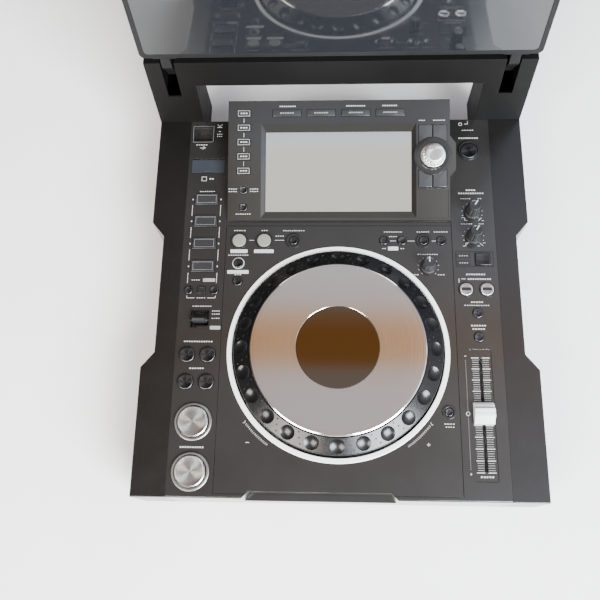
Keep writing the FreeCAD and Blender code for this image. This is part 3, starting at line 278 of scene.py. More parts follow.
pale_wood = (0.52, 0.39, 0.29)
ramp_stops(wall, [
    (0.0, (0.40, 0.37, 0.34)),
    (0.20, ceiling),
    (0.245, ceiling),
    (0.249, (0.76, 0.80, 0.86)),
    (0.2615, (0.62, 0.68, 0.80)),
    (0.2625, (0.14, 0.15, 0.18)),
    (0.2640, (0.14, 0.15, 0.18)),
    (0.2650, (0.62, 0.66, 0.76)),
    (0.272, (0.60, 0.63, 0.70)),
    (0.284, (0.52, 0.46, 0.41)),
    (0.310, (0.50, 0.44, 0.40)),
    (0.33, pinkish),
    (0.3625, pinkish),
    (0.3645, pale_wood),
    (0.3725, wood),
    (0.3925, wood),
    (0.407, pale_wood),
    (0.409, pinkish),
    (0.47, (0.55, 0.56, 0.60)),
    (0.53, (0.22, 0.23, 0.27)),
    (1.0, (0.10, 0.10, 0.12)),
])
across = sky.new("ShaderNodeMath")
across.operation = "DIVIDE"
sky_links.new(split.outputs["X"], across.inputs[0])
sky_links.new(height.outputs[0], across.inputs[1])
side = sky.new("ShaderNodeMapRange")
side.inputs["From Min"].default_value = -0.6
side.inputs["From Max"].default_value = 0.6
sky_links.new(across.outputs[0], side.inputs["Value"])
sides = sky.new("ShaderNodeValToRGB")
sky_links.new(side.outputs[0], sides.inputs[0])
ramp_stops(sides, [
    (0.0, (0.08, 0.068, 0.060)),
    (0.25, (0.19, 0.155, 0.13)),
    (0.37, (0.32, 0.28, 0.25)),
    (0.41, (0.5, 0.5, 0.5)),
    (0.592, (0.5, 0.5, 0.5)),
    (0.635, (0.84, 0.87, 0.92)),
    (0.80, (1.05, 1.12, 1.28)),
])
both = sky.new("ShaderNodeMix")
both.data_type = "RGBA"
both.blend_type = "MULTIPLY"
both.inputs[0].default_value = 1.0
sky_links.new(wall.outputs[0], both.inputs[6])
sky_links.new(sides.outputs[0], both.inputs[7])
low_down = sky.new("ShaderNodeMapRange")
low_down.inputs["From Min"].default_value = 0.20
low_down.inputs["From Max"].default_value = 0.50
low_down.inputs["To Min"].default_value = 1.0
low_down.inputs["To Max"].default_value = 0.0
sky_links.new(split.outputs["Z"], low_down.inputs["Value"])
plain = sky.new("ShaderNodeMix")
plain.data_type = "RGBA"
plain.inputs[7].default_value = (0.13, 0.13, 0.135, 1.0)
sky_links.new(low_down.outputs[0], plain.inputs[0])
sky_links.new(both.outputs[2], plain.inputs[6])
background = sky["Background"]
sky_links.new(plain.outputs[2], background.inputs["Color"])
background.inputs["Strength"].default_value = 2.5
print("world ready")

# %% [markdown]
# A flat colour looks like paint in a drawing. A real finish has a grain, faint smears that change
# how it shines, and edges that catch the light. Each finish below is one principled shader whose
# colour, roughness and bump are led by noise in the object's own coordinates. The values that are
# the same all over stay on the shader itself, because the export reads them there.


# %% Helpers for finishes
def new_finish(name, colour, metallic, roughness):
    """A material with one principled shader, set plainly."""
    finish = bpy.data.materials.new(name)
    finish.use_nodes = True
    shader = finish.node_tree.nodes["Principled BSDF"]
    shader.inputs["Base Color"].default_value = (*colour, 1.0)
    shader.inputs["Metallic"].default_value = metallic
    shader.inputs["Roughness"].default_value = roughness
    finish.diffuse_color = (*colour, 1.0)
    return finish, shader


def add_node(finish, kind, **values):
    """A node with some of its inputs set by name."""
    node = finish.node_tree.nodes.new("ShaderNode" + kind)
    for key, value in values.items():
        node.inputs[key.replace("_", " ")].default_value = value
    return node


def wire(finish, source, target):
    """Joins an output to an input."""
    finish.node_tree.links.new(source, target)


def noise_from(finish, scale, detail=3.0, roughness=0.6, stretch=None):
    """Noise in object coordinates. stretch scales it along X, Y and Z."""
    where = add_node(finish, "TexCoord")
    noise = add_node(finish, "TexNoise", Scale=scale, Detail=detail, Roughness=roughness)
    source = where.outputs["Object"]
    if stretch:
        mapping = add_node(finish, "Mapping", Scale=stretch)
        wire(finish, source, mapping.inputs["Vector"])
        source = mapping.outputs["Vector"]
    wire(finish, source, noise.inputs["Vector"])
    return noise.outputs["Fac"]


def spread(finish, source, low, high, start=0.3, end=0.7):
    """Maps a value from one span to another."""
    span = add_node(finish, "MapRange", From_Min=start, From_Max=end, To_Min=low, To_Max=high)
    wire(finish, source, span.inputs["Value"])
    return span.outputs["Result"]


def two_tone(finish, shader, factor, first, second):
    """Base colour that drifts between two tones."""
    mix = add_node(finish, "ValToRGB")
    mix.color_ramp.elements[0].position = 0.32
    mix.color_ramp.elements[0].color = (*first, 1.0)
    mix.color_ramp.elements[1].position = 0.68
    mix.color_ramp.elements[1].color = (*second, 1.0)
    wire(finish, factor, mix.inputs["Fac"])
    wire(finish, mix.outputs["Color"], shader.inputs["Base Color"])
    return mix


def bump(finish, shader, source, depth, edge=0.0):
    """Fine relief, depth in metres. With an edge radius, hard edges are also rounded for the light."""
    relief = add_node(finish, "Bump", Strength=1.0, Distance=depth)
    wire(finish, source, relief.inputs["Height"])
    if edge:
        rounding = add_node(finish, "Bevel", Radius=edge)
        rounding.samples = 4
        wire(finish, rounding.outputs["Normal"], relief.inputs["Normal"])
    wire(finish, relief.outputs["Normal"], shader.inputs["Normal"])


def shade_of(colour, factor):
    """A colour made lighter or darker."""
    return tuple(channel * factor for channel in colour)


def moulded(name, colour, roughness, grain=2600.0, depth=0.000012, drift=0.18, smear=0.08, edge=0.0):
    """Moulded plastic: a spark-eroded grain, slow drift in tone and faint smears from hands."""
    finish, shader = new_finish(name, colour, 0.0, roughness)
    tone = noise_from(finish, 9.0, 4.0)
    two_tone(finish, shader, tone, shade_of(colour, 1 - drift), shade_of(colour, 1 + drift))
    hands = noise_from(finish, 38.0, 5.0, 0.7)
    wire(finish, spread(finish, hands, roughness - smear, roughness + smear), shader.inputs["Roughness"])
    bump(finish, shader, noise_from(finish, grain, 2.0), depth, edge)
    return finish


print("finish helpers ready")

# %% [markdown]
# The deck is satin black plastic and the sides and riser are painted sheet. In the photograph both
# are soft mirrors for the room, so they get a low base colour and a middling roughness. The paint
# has the slight orange peel of a powder coat, which is coarser than the grain of a mould.

# %% Finishes of the deck and the case
deck_black = (0.012, 0.0112, 0.0108)
deck_finish = moulded("deck_satin_black", deck_black, 0.16, grain=3200.0, depth=0.000006, smear=0.02, edge=0.0005)
deck_finish.node_tree.nodes["Principled BSDF"].inputs["IOR"].default_value = 1.72
sheet_black = (0.003, 0.0027, 0.0026)
sheet_finish = moulded("powder_coated_sheet", sheet_black, 0.24, grain=1100.0, depth=0.000014, smear=0.03, edge=0.0007)
sheet_finish.node_tree.nodes["Principled BSDF"].inputs["IOR"].default_value = 1.72
riser_finish = moulded("powder_coated_riser", sheet_black, 0.5, grain=1100.0, depth=0.000014, smear=0.05, edge=0.0007)
riser_finish.node_tree.nodes["Principled BSDF"].inputs["Specular IOR Level"].default_value = 0.12
housing_finish = moulded("housing_gloss_grey", (0.010, 0.0095, 0.009), 0.08, depth=0.000001, smear=0.02, edge=0.0005)
housing_finish.node_tree.nodes["Principled BSDF"].inputs["IOR"].default_value = 1.75
case_finish = moulded("screen_case_matte", (0.006, 0.006, 0.0063), 0.5, depth=0.00002, edge=0.0008)
case_finish.node_tree.nodes["Principled BSDF"].inputs["Specular IOR Level"].default_value = 0.2
door_finish = moulded("door_satin", (0.020, 0.023, 0.030), 0.36, depth=0.000006, edge=0.0003)
gloss_finish = moulded("gloss_black", (0.012, 0.012, 0.012), 0.12, depth=0.000002, smear=0.05)
rubber_finish = moulded("foot_rubber", (0.018, 0.018, 0.018), 0.75, grain=1500.0, depth=0.00004)
socket_finish = moulded("socket_black", (0.016, 0.016, 0.016), 0.42, depth=0.00001, edge=0.0003)
knob_finish = moulded("knob_matte_black", (0.014, 0.014, 0.015), 0.38, grain=2400.0, depth=0.00001)
rim_finish = moulded("jog_rim_black", (0.0035, 0.0035, 0.0037), 0.25, grain=2800.0, depth=0.000006, smear=0.05)
key_finish = moulded("key_satin_black", (0.020, 0.020, 0.021), 0.24, depth=0.000004, edge=0.0003)
rim_finish.node_tree.nodes["Principled BSDF"].inputs["Specular IOR Level"].default_value = 0.38
pale_finish = moulded("key_pale_lit", (0.17, 0.175, 0.14), 0.42, grain=1800.0, depth=0.000008, drift=0.06)
white_finish = moulded("fader_white", (0.70, 0.70, 0.70), 0.38, grain=1800.0, depth=0.000008, drift=0.05, edge=0.0003)
board_finish = moulded("board_green", (0.02, 0.12, 0.05), 0.4, grain=900.0, depth=0.00003)
print("plastics ready")

# %% [markdown]
# Metal parts differ by how they were cut. The dial's plate is polished and dyed, with lathe marks
# too fine to see one by one. The caps are turned on a lathe, so their marks run in circles and the
# light gathers in a bow-tie. Anisotropy with a tangent around the axis gives that, and a fine
# circular relief from a flat map in millimetres keeps the circles centred on every cap.


# %% Finishes of the metal parts
def lay_flat_map(piece, centre):
    """A flat map in millimetres from the turning axis, for lathe marks."""
    layer = piece.data.uv_layers.new(name="turning")
    for corner in piece.data.loops:
        offset = piece.data.vertices[corner.vertex_index].co - centre
        layer.data[corner.index].uv = (offset.x / mm, offset.y / mm)
    return piece


def turned_metal(name, colour, roughness, pitch, depth, anisotropy, streaks=0.12):
    """Metal off the lathe: circular marks about the flat map's zero, and light drawn out across them."""
    finish, shader = new_finish(name, colour, 1.0, roughness)
    shader.inputs["Anisotropic"].default_value = anisotropy
    around = add_node(finish, "Tangent")
    around.direction_type = "RADIAL"
    around.axis = "Z"
    wire(finish, around.outputs["Tangent"], shader.inputs["Tangent"])
    flat = add_node(finish, "UVMap")
    flat.uv_map = "turning"
    radius = add_node(finish, "VectorMath")
    radius.operation = "LENGTH"
    wire(finish, flat.outputs["UV"], radius.inputs[0])
    marks = add_node(finish, "TexNoise", Scale=1.0 / pitch, Detail=2.0)
    marks.noise_dimensions = "1D"
    wire(finish, radius.outputs["Value"], marks.inputs["W"])
    wire(finish, spread(finish, marks.outputs["Fac"], roughness - 0.06, roughness + 0.06), shader.inputs["Roughness"])
    two_tone(finish, shader, marks.outputs["Fac"], shade_of(colour, 1 - streaks), colour)
    bump(finish, shader, marks.outputs["Fac"], depth)
    return finish


silver_finish = turned_metal("spun_silver", (0.74, 0.74, 0.73), 0.26, 0.25, 0.000004, 0.85)
dark_spun_finish = turned_metal("spun_black", (0.10, 0.10, 0.105), 0.24, 0.25, 0.000003, 0.85, 0.3)
plate_finish = turned_metal("dial_plate", (0.86, 0.83, 0.82), 0.10, 0.6, 0.0000002, 0.35, 0.04)
ring_finish = turned_metal("dial_ring_silver", (0.95, 0.95, 0.93), 0.42, 0.5, 0.000001, 0.3, 0.05)
ring_finish.node_tree.nodes["Principled BSDF"].inputs["Metallic"].default_value = 0.25
satin_ring_finish = turned_metal("satin_ring", (0.34, 0.33, 0.31), 0.36, 0.4, 0.000003, 0.4, 0.1)

steel_finish, steel_shader = new_finish("bare_steel", (0.55, 0.55, 0.55), 1.0, 0.35)
brushing = noise_from(steel_finish, 400.0, 3.0, 0.6, (0.05, 1.0, 1.0))
wire(steel_finish, spread(steel_finish, brushing, 0.25, 0.5), steel_shader.inputs["Roughness"])
bump(steel_finish, steel_shader, brushing, 0.000006)

alloy_finish, alloy_shader = new_finish("light_alloy", (0.6, 0.61, 0.62), 1.0, 0.4)
casting = noise_from(alloy_finish, 600.0, 4.0)
wire(alloy_finish, spread(alloy_finish, casting, 0.32, 0.55), alloy_shader.inputs["Roughness"])
bump(alloy_finish, alloy_shader, casting, 0.00002)
print("metals ready")

# %% [markdown]
# Three surfaces are glass. The dial's window is tinted brown and hides a dark display, so it is made
# a dark brown mirror. The small display is switched off, and in the photograph it is a pale mirror
# that is as bright as the table. The large screen is plain black glass. Dust and wiping marks are in
# the roughness of each.


# %% Finishes of the glass
def wiped_glass(name, colour, metallic, roughness, smear):
    """Glass or a mirror film with faint wiping marks."""
    finish, shader = new_finish(name, colour, metallic, roughness)
    wiping = noise_from(finish, 30.0, 6.0, 0.7, (1.0, 0.35, 1.0))
    wire(finish, spread(finish, wiping, roughness, roughness + smear, 0.45, 0.8), shader.inputs["Roughness"])
    dust = noise_from(finish, 900.0, 2.0)
    two_tone(finish, shader, dust, shade_of(colour, 0.97), colour)
    return finish


window_finish = wiped_glass("tinted_window", (0.195, 0.160, 0.128), 1.0, 0.02, 0.03)
display_finish = wiped_glass("display_mirror", (0.90, 0.89, 0.85), 1.0, 0.03, 0.03)
screen_finish = wiped_glass("screen_glass", (0.010, 0.011, 0.013), 0.0, 0.04, 0.05)
screen_finish.node_tree.nodes["Principled BSDF"].inputs["Coat Weight"].default_value = 0.5

ink_finish = moulded("print_white", (0.40, 0.40, 0.385), 0.5, grain=1500.0, depth=0.000003, drift=0.08)
# The grey ink is printing, and it also paints thin highlight lines inside the pads' frames.
grey_ink_and_painted_highlight = moulded("print_grey_and_painted_highlight", (0.20, 0.20, 0.20), 0.5, grain=1500.0, depth=0.000003, drift=0.08)
red_lamp_finish = moulded("lamp_dark_lens", (0.05, 0.035, 0.03), 0.15, depth=0.000002)
table_finish = moulded("pale_table", (0.88, 0.87, 0.85), 0.55, grain=300.0, depth=0.00002, drift=0.02)
table.data.materials.append(table_finish)
print("glass, ink and table ready")

# %% [markdown]
# The solids keep their meshes. Each one takes the finish of its material slot in the record, so the
# works inside are dressed too, and the pieces that come later stand for the solids they improve.

# %% Dress the solids
slot_finish = {
    "deck_plastic": deck_finish,
    "case_sheet": sheet_finish,
    "screen_case": case_finish,
    "display_glass": screen_finish,
    "silver_ring": ring_finish,
    "jog_rubber": rim_finish,
    "jog_metal": plate_finish,
    "jog_tint": window_finish,
    "display_module": gloss_finish,
    "spun_silver": silver_finish,
    "key_black": key_finish,
    "key_pale": pale_finish,
    "knob_black": knob_finish,
    "fader_white": white_finish,
    "feet_rubber": rubber_finish,
    "steel": steel_finish,
    "light_metal": alloy_finish,
    "board": board_finish,
    "socket_black": socket_finish,
}
slot_of = {part["node"]: part["material_slot"] for part in frame["record"]["subparts"]}
own_finish = {
    "display_panel": display_finish,
    "display_housing": housing_finish,
    "screen_arms": case_finish,
    "riser": riser_finish,
    "card_door": door_finish,
}
for name, solid in solids.items():
    solid.data.materials.clear()
    solid.data.materials.append(own_finish.get(name, slot_finish[slot_of[name]]))
print(len(solids), "solids dressed")

# %% [markdown]
# The dial is the player's main part. A hand rests on its polished plate and pushes it down, and the
# finger dimples in its rim turn it. The rim is turned first, as one closed ring with its web and hub,
# and the dimples are then cut with a ball, as a cutter would, so each gets a true round edge on the
# slope. A boolean is used because twenty-four hollows on a cone are hard to pull out of a grid.

# %% The rim of the dial
dial = middle("jog_ring")
dial.z = deck_top
rim_low, rim_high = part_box("jog_rim")
plate_low, plate_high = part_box("jog_plate")
rim_radius = (rim_high.x - rim_low.x) / 2
plate_radius = (plate_high.x - plate_low.x) / 2
seat_radius = plate_radius + 0.6 * mm
rim_inner_top = rim_high.z - deck_top
rim_outer_top = 5.2 * mm
rim_bottom = -8.5 * mm
hub_bottom = rim_low.z - deck_top
hub_inner = 12.05 * mm
hub_outer = 18.0 * mm
shelf_top = 11.2 * mm
shelf_inner = seat_radius - 7.0 * mm
web_top = rim_bottom + 2.0 * mm
soft = 0.7 * mm
rim_slope = math.atan2(rim_inner_top - rim_outer_top, rim_radius - seat_radius)
rim_outline = [
    (hub_inner, hub_bottom),
    (hub_outer, hub_bottom),
    (hub_outer, rim_bottom),
    (shelf_inner + 3 * mm, rim_bottom),
    (rim_radius - 3 * mm, rim_outer_top - 3 * mm),
    (rim_radius - 3 * mm, rim_bottom),
    (rim_radius, rim_bottom),
    (rim_radius, rim_outer_top - soft),
    (rim_radius - 0.3 * soft, rim_outer_top - 0.25 * soft),
    (rim_radius - soft, rim_outer_top + 0.35 * soft),
    (seat_radius + soft, rim_inner_top - 0.35 * soft),
    (seat_radius + 0.3 * soft, rim_inner_top - 0.25 * soft),
    (seat_radius, rim_inner_top - soft),
    (seat_radius, shelf_top),
    (shelf_inner, shelf_top),
    (shelf_inner, web_top),
    (hub_inner, web_top),
    (hub_inner, hub_bottom),
]
rim = lathe("dial_rim", rim_outline, dial, steps=240, angle=14)

dimple_count = 24
dimple_radius = 7.4 * mm
dimple_depth = 1.7 * mm
ball_radius = (dimple_radius ** 2 + dimple_depth ** 2) / (2 * dimple_depth)
dimple_ring = (rim_radius + seat_radius) / 2
dimple_height = (rim_outer_top + rim_inner_top) / 2
lift = ball_radius - dimple_depth
ball_out = dimple_ring + lift * math.sin(rim_slope)
ball_up = dimple_height + lift * math.cos(rim_slope)
clear_selection()
bpy.ops.mesh.primitive_uv_sphere_add(
    segments=72, ring_count=72, radius=ball_radius, location=dial + Vector((ball_out, 0, ball_up))
)
ball = begin("dimple_cutter")
pick_faces(lambda spot, normal: spot.z > 0.35 * ball_radius)
bpy.ops.mesh.delete(type="FACE")
pick_edges(lambda a, b: min(a.z, b.z) > 0.3 * ball_radius)
bpy.ops.mesh.edge_face_add()
bpy.ops.object.mode_set(mode="OBJECT")
bpy.ops.object.transform_apply(location=True)
balls = [ball]
for i in range(1, dimple_count):
    turn = Matrix.Rotation(2 * math.pi * i / dimple_count, 4, "Z")
    twin = copy_of(ball, "dimple_cutter_" + str(i), Vector())
    twin.data.transform(Matrix.Translation(dial) @ turn @ Matrix.Translation(-dial))
    balls.append(twin)
cutter = join(balls, "dimple_cutters")
cut = rim.modifiers.new("dimples", "BOOLEAN")
cut.operation = "DIFFERENCE"
cut.solver = "EXACT"
cut.object = cutter
clear_selection()
rim.select_set(True)
bpy.context.view_layer.objects.active = rim
bpy.ops.object.modifier_apply(modifier="dimples")
bpy.data.objects.remove(cutter)
bpy.ops.object.shade_smooth_by_angle(angle=math.radians(12))
dress(rim, rim_finish, "jog", "jog_rim")
print("rim with", dimple_count, "dimples,", len(rim.data.polygons), "faces")

# %% [markdown]
# Between the dimples sit three small pips on a line that leans a little, so a finger feels where one
# dimple ends. One pip is a small turned dome. It is laid on the slope and copied round.

# %% Pips between the dimples
pip_radius = 0.85 * mm
pip_height = 0.35 * mm
pip_outline = [
    (pip_radius, -0.2 * mm),
    (pip_radius, 0.0),
    (0.75 * pip_radius, 0.7 * pip_height),
    (0.4 * pip_radius, 0.95 * pip_height),
    (0.0, pip_height),
]
pip = lathe("pip", pip_outline, Vector(), steps=14, angle=60)
pips = []
pip_reach = (89.6 * mm, 94.4 * mm, 99.2 * mm)
pip_lean = math.radians(1.6)
for i in range(dimple_count):
    for order, reach in enumerate(pip_reach):
        angle = 2 * math.pi * (i + 0.5) / dimple_count + (order - 1) * pip_lean
        height = rim_outer_top + (rim_radius - reach) * math.tan(rim_slope)
        spot = Matrix.Translation(dial) @ Matrix.Rotation(angle, 4, "Z")
        spot = spot @ Matrix.Translation((reach, 0, height)) @ Matrix.Rotation(rim_slope, 4, "Y")
        twin = copy_of(pip, "pip_" + str(len(pips)), Vector())
        twin.data.transform(spot)
        pips.append(twin)
bpy.data.objects.remove(pip)
pip_ring = join(pips, "dial_pips")
dress(pip_ring, rim_finish, "jog", slot="jog_rubber")
print(len(pips), "pips")

# %% [markdown]
# The plate is turned metal with a chamfer that flashes at its edge, a fine groove just inside it,
# and a seat for the window. The window lies flush in the seat. The plate gets a flat map from the
# dial's axis, so the lathe marks run true. The ring round the dial is a separate bright bezel with
# the same map.

# %% The plate, the window and the ring
plate_top = plate_high.z - deck_top
plate_bottom = plate_low.z - deck_top
window_low, window_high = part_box("jog_window")
window_radius = (window_high.x - window_low.x) / 2
window_seat = window_radius + 0.3 * mm
window_bottom = window_low.z - deck_top
plate_lip = window_radius - 2.6 * mm
chamfer = 1.1 * mm
groove = 3.2 * mm
plate_outline = [
    (plate_lip, plate_bottom),
    (plate_radius, plate_bottom),
    (plate_radius, plate_top - 0.7 * mm),
    (plate_radius - 0.15 * mm, plate_top - 0.5 * mm),
    (plate_radius - chamfer, plate_top - 0.06 * mm),
    (plate_radius - chamfer - 0.15 * mm, plate_top),
    (plate_radius - groove, plate_top),
    (plate_radius - groove - 0.1 * mm, plate_top - 0.12 * mm),
    (plate_radius - groove - 0.3 * mm, plate_top - 0.12 * mm),
    (plate_radius - groove - 0.4 * mm, plate_top),
    (window_seat + 0.25 * mm, plate_top),
    (window_seat, plate_top - 0.2 * mm),
    (window_seat, window_bottom),
    (plate_lip, window_bottom),
    (plate_lip, plate_bottom),
]
plate = lathe("dial_plate", plate_outline, dial, steps=240, angle=20)
lay_flat_map(plate, dial)
dress(plate, plate_finish, "jog_top", "jog_plate")

window_outline = [
    (0.0, window_bottom),
    (window_radius, window_bottom),
    (window_radius, plate_top - 0.2 * mm),
    (window_radius - 0.15 * mm, plate_top - 0.05 * mm),
    (window_radius - 0.3 * mm, plate_top - 0.02 * mm),
    (window_radius - 0.6 * mm, plate_top - 0.02 * mm),
    (0.0, plate_top - 0.02 * mm),
]
window_disc = lathe("dial_window", window_outline, dial, steps=180, angle=20)
dress(window_disc, window_finish, "jog_top", "jog_window")

ring_low, ring_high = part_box("jog_ring")
ring_radius = (ring_high.x - ring_low.x) / 2
ring_inner = ring_radius - 5.0 * mm
ring_skirt = ring_radius - 2.5 * mm
ring_bottom = ring_low.z - deck_top
ring_top = ring_high.z - deck_top
ring_outline = [
    (ring_inner, ring_bottom),
    (ring_skirt, ring_bottom),
    (ring_skirt, 0.0),
    (ring_radius, 0.0),
    (ring_radius, ring_top - 0.6 * mm),
    (ring_radius - 0.2 * mm, ring_top - 0.22 * mm),
    (ring_radius - 0.6 * mm, ring_top),
    (ring_inner + 0.6 * mm, ring_top),
    (ring_inner + 0.2 * mm, ring_top - 0.22 * mm),
    (ring_inner, ring_top - 0.6 * mm),
    (ring_inner, ring_bottom),
]
dial_ring = lathe("dial_ring", ring_outline, dial, steps=240, angle=28)
lay_flat_map(dial_ring, dial)
dress(dial_ring, ring_finish, "chassis", "jog_ring")
print("plate", round(plate_radius / mm, 1), "window", round(window_radius / mm, 1), "ring", round(ring_radius / mm, 1))

# %% [markdown]
# Round keys are the player's small change: a dozen and a half of them, in five sizes. On the real
# one each is a turned cap with a broken edge and a shallow dish that finds the finger. The solid has
# the size and place, so a helper reads them from its box and turns a finer cap around its axis.
# Under the deck the cap has a round flange that keeps the key in.

# %% The round caps
key_under = -2.8 * mm
flange_bottom = -3.8 * mm


def key_outline(radius, top, dish, edge):
    """The profile of a round cap, from its foot over the broken edge to the middle of its dish."""
    return [
        (radius + 1.2 * mm, flange_bottom),
        (radius + 1.2 * mm, key_under),
        (radius, key_under),
        (radius, top - edge),
        (radius - 0.35 * edge, top - 0.3 * edge),
        (radius - edge, top),
        (radius - edge - 0.5 * mm, top),
        (0.66 * radius, top - 0.6 * dish),
        (0.33 * radius, top - 0.9 * dish),
        (0.0, top - dish),
    ]


def key_place(node):
    """The axis and the size of a round key, from its solid. Y is used, because the bar runs along X."""
    low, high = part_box(node)
    axis = (low + high) / 2
    axis.z = deck_top
    return axis, (high.y - low.y) / 2, high.z - deck_top


def round_cap(node, finish, dish=0.35 * mm, edge=0.45 * mm, steps=64):
    """A turned cap in place of a round key's solid."""
    axis, radius, top = key_place(node)
    cap = lathe(node + "_cap", key_outline(radius, top, dish, edge), axis, steps, angle=40)
    lay_flat_map(cap, axis)
    return dress(cap, finish, node, node)


dark_keys = (
    "reloop_key", "beat_key", "slip_key", "delete_key", "memory_key", "tempo_reset_key",
    "tempo_range_key", "master_tempo_key", "eject_key",
)
for node in dark_keys:
    round_cap(node, dark_spun_finish)
first_search = round_cap("search_back_key", dark_spun_finish, dish=0.5 * mm, edge=0.7 * mm)
home = key_place("search_back_key")[0]
for node in ("search_forward_key", "track_back_key", "track_forward_key"):
    shift = key_place(node)[0] - home
    cap = copy_of(first_search, node + "_cap", shift)
    dress(cap, dark_spun_finish, node, node)
print("dark caps", len(dark_keys) + 4)

# %% [markdown]
# Two pale keys set the ends of a loop. They are soft, lit from below and slightly domed, and sit in
# a black collar. The two silver keys on the right are turned metal with a dark band let in across.

# %% Pale loop keys and silver sync keys
pale = round_cap("loop_in_key", pale_finish, dish=-0.25 * mm, edge=0.6 * mm)
home = key_place("loop_in_key")[0]
second = copy_of(pale, "loop_out_key_cap", key_place("loop_out_key")[0] - home)
dress(second, pale_finish, "loop_out_key", "loop_out_key")

silver = round_cap("sync_key", silver_finish, dish=0.2 * mm, edge=0.6 * mm)
home = key_place("sync_key")[0]
second = copy_of(silver, "master_key_cap", key_place("master_key")[0] - home)
dress(second, silver_finish, "master_key", "master_key")

band_length = 9.4 * mm
band_width = 3.4 * mm
for node in ("sync_key", "master_key"):
    axis, radius, top = key_place(node)
    clear_selection()
    bpy.ops.mesh.primitive_cube_add(size=1.0, location=axis + Vector((0, 0, top - 0.1 * mm)))
    band = begin(node + "_band")
    bpy.ops.mesh.select_all(action="SELECT")
    bpy.ops.transform.resize(value=(band_length, band_width, 0.3 * mm))
    pick_edges(lambda a, b: abs(a.z - b.z) > 0.1 * mm)
    bpy.ops.mesh.bevel(offset=0.8 * mm, segments=4)
    done(band)
    dress(band, gloss_finish, node, slot="key_black")
print("loop and sync keys ready")


# %% Keys that share a body
def turned_key(name, axis, radius, top, finish, dish=0.35 * mm, edge=0.45 * mm, steps=56):
    """A round cap that isn't dressed yet, for a group of keys."""
    cap = lathe(name, key_outline(radius, top, dish, edge), axis, steps, angle=40)
    lay_flat_map(cap, axis)
    cap.data.materials.append(finish)
    return cap


def flat_key(name, spot, width, depth, top, edge=0.4 * mm, dish=0.0, foot=None):
    """A square cap: a block whose top is broken at the edge and, if asked, sunk inside a narrow frame."""
    foot = flange_bottom if foot is None else foot
    clear_selection()
    bpy.ops.mesh.primitive_cube_add(size=1.0, location=spot + Vector((0, 0, (top + foot) / 2)))
    cap = begin(name)
    bpy.ops.mesh.select_all(action="SELECT")
    bpy.ops.transform.resize(value=(width, depth, top - foot))
    pick_faces(lambda middle, normal: normal.z > 0.9)
    if dish:
        bpy.ops.mesh.inset(thickness=1.3 * mm, depth=0.0)
        bpy.ops.mesh.inset(thickness=0.35 * mm, depth=-dish)
    high = (top - foot) / 2 - 0.05 * mm
    pick_edges(lambda a, b: max(a.z, b.z) > high and on_outline(a, b, width, depth))
    bpy.ops.mesh.bevel(offset=edge, segments=3)
    return done(cap)


def on_outline(a, b, width, depth):
    """True for an edge on the outside of a block, seen from above."""
    near = 0.1 * mm
    return all(abs(p.x) > width / 2 - near or abs(p.y) > depth / 2 - near for p in (a, b))


call_low, call_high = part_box("cue_call_keys")
call_radius = (call_high.y - call_low.y) / 2
call_top = call_high.z - deck_top
call_y = (call_low.y + call_high.y) / 2
reach = 1.3 * mm
calls = []
for x in (call_low.x + call_radius + reach, call_high.x - call_radius - reach):
    calls.append(turned_key("call_key", Vector((x, call_y, deck_top)), call_radius, call_top, dark_spun_finish))
call_pair = join(calls, "call_keys")
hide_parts("cue_call_keys")
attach(call_pair, "cue_call_keys")

bank_low, bank_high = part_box("bank_keys")
bank_radius = 4.35 * mm
bank_y = (bank_low.y + bank_high.y) / 2
bank_x = (bank_low.x + bank_high.x) / 2
bank_top = bank_high.z - deck_top
banks = []
for x in (bank_low.x + bank_radius + reach, bank_high.x - bank_radius - reach):
    banks.append(turned_key("bank_key", Vector((x, bank_y, deck_top)), bank_radius, bank_top, dark_spun_finish))
square = flat_key("bank_square", Vector((bank_x, bank_y, deck_top)), 7.6 * mm, 7.6 * mm, bank_top, dish=0.25 * mm)
square.data.materials.append(gloss_finish)
bank_group = join(banks + [square], "bank_key_group")
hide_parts("bank_keys")
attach(bank_group, "bank_keys")
print("grouped keys ready")

# %% [markdown]
# The four pads are wide rubber keys, each with a narrow raised frame round a sunken field, as in the
# photograph, where the frame catches a thin line of light. One is shaped from a block by two insets
# and copied. The mode key is the same form, smaller.

# %% The pads and the mode key
pad_spot = middle("cue_pad_d")
pad_spot.z = deck_top
pad_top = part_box("cue_pad_d")[1].z - deck_top
pad_width = 24.5 * mm
pad_depth = 12.6 * mm
pad = flat_key("cue_pad_d_cap", pad_spot, pad_width, pad_depth, pad_top, dish=0.35 * mm)
dress(pad, key_finish, "cue_pad_d", "cue_pad_d")
for letter in "abc":
    node = "cue_pad_" + letter
    spot = middle(node)
    spot.z = deck_top
    twin = copy_of(pad, node + "_cap", spot - pad_spot)
    dress(twin, key_finish, node, node)

mode_low, mode_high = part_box("jog_mode_key")
mode_spot = (mode_low + mode_high) / 2
mode_spot.z = deck_top
mode_key = flat_key("mode_key_cap", mode_spot, 15.1 * mm, 13.1 * mm, mode_high.z - deck_top, dish=0.2 * mm)
dress(mode_key, gloss_finish, "jog_mode_key", "jog_mode_key")
print("pads and mode key ready")

# %% [markdown]
# The two transport keys are the parts a hand hits most. Each is a thick cap of spun aluminium with a
# bright chamfer and a very shallow cone, inside a satin ring with a dark gap between. The ring is in
# the deck's solid, so a thin turned skin lies over it to give it its own metal.

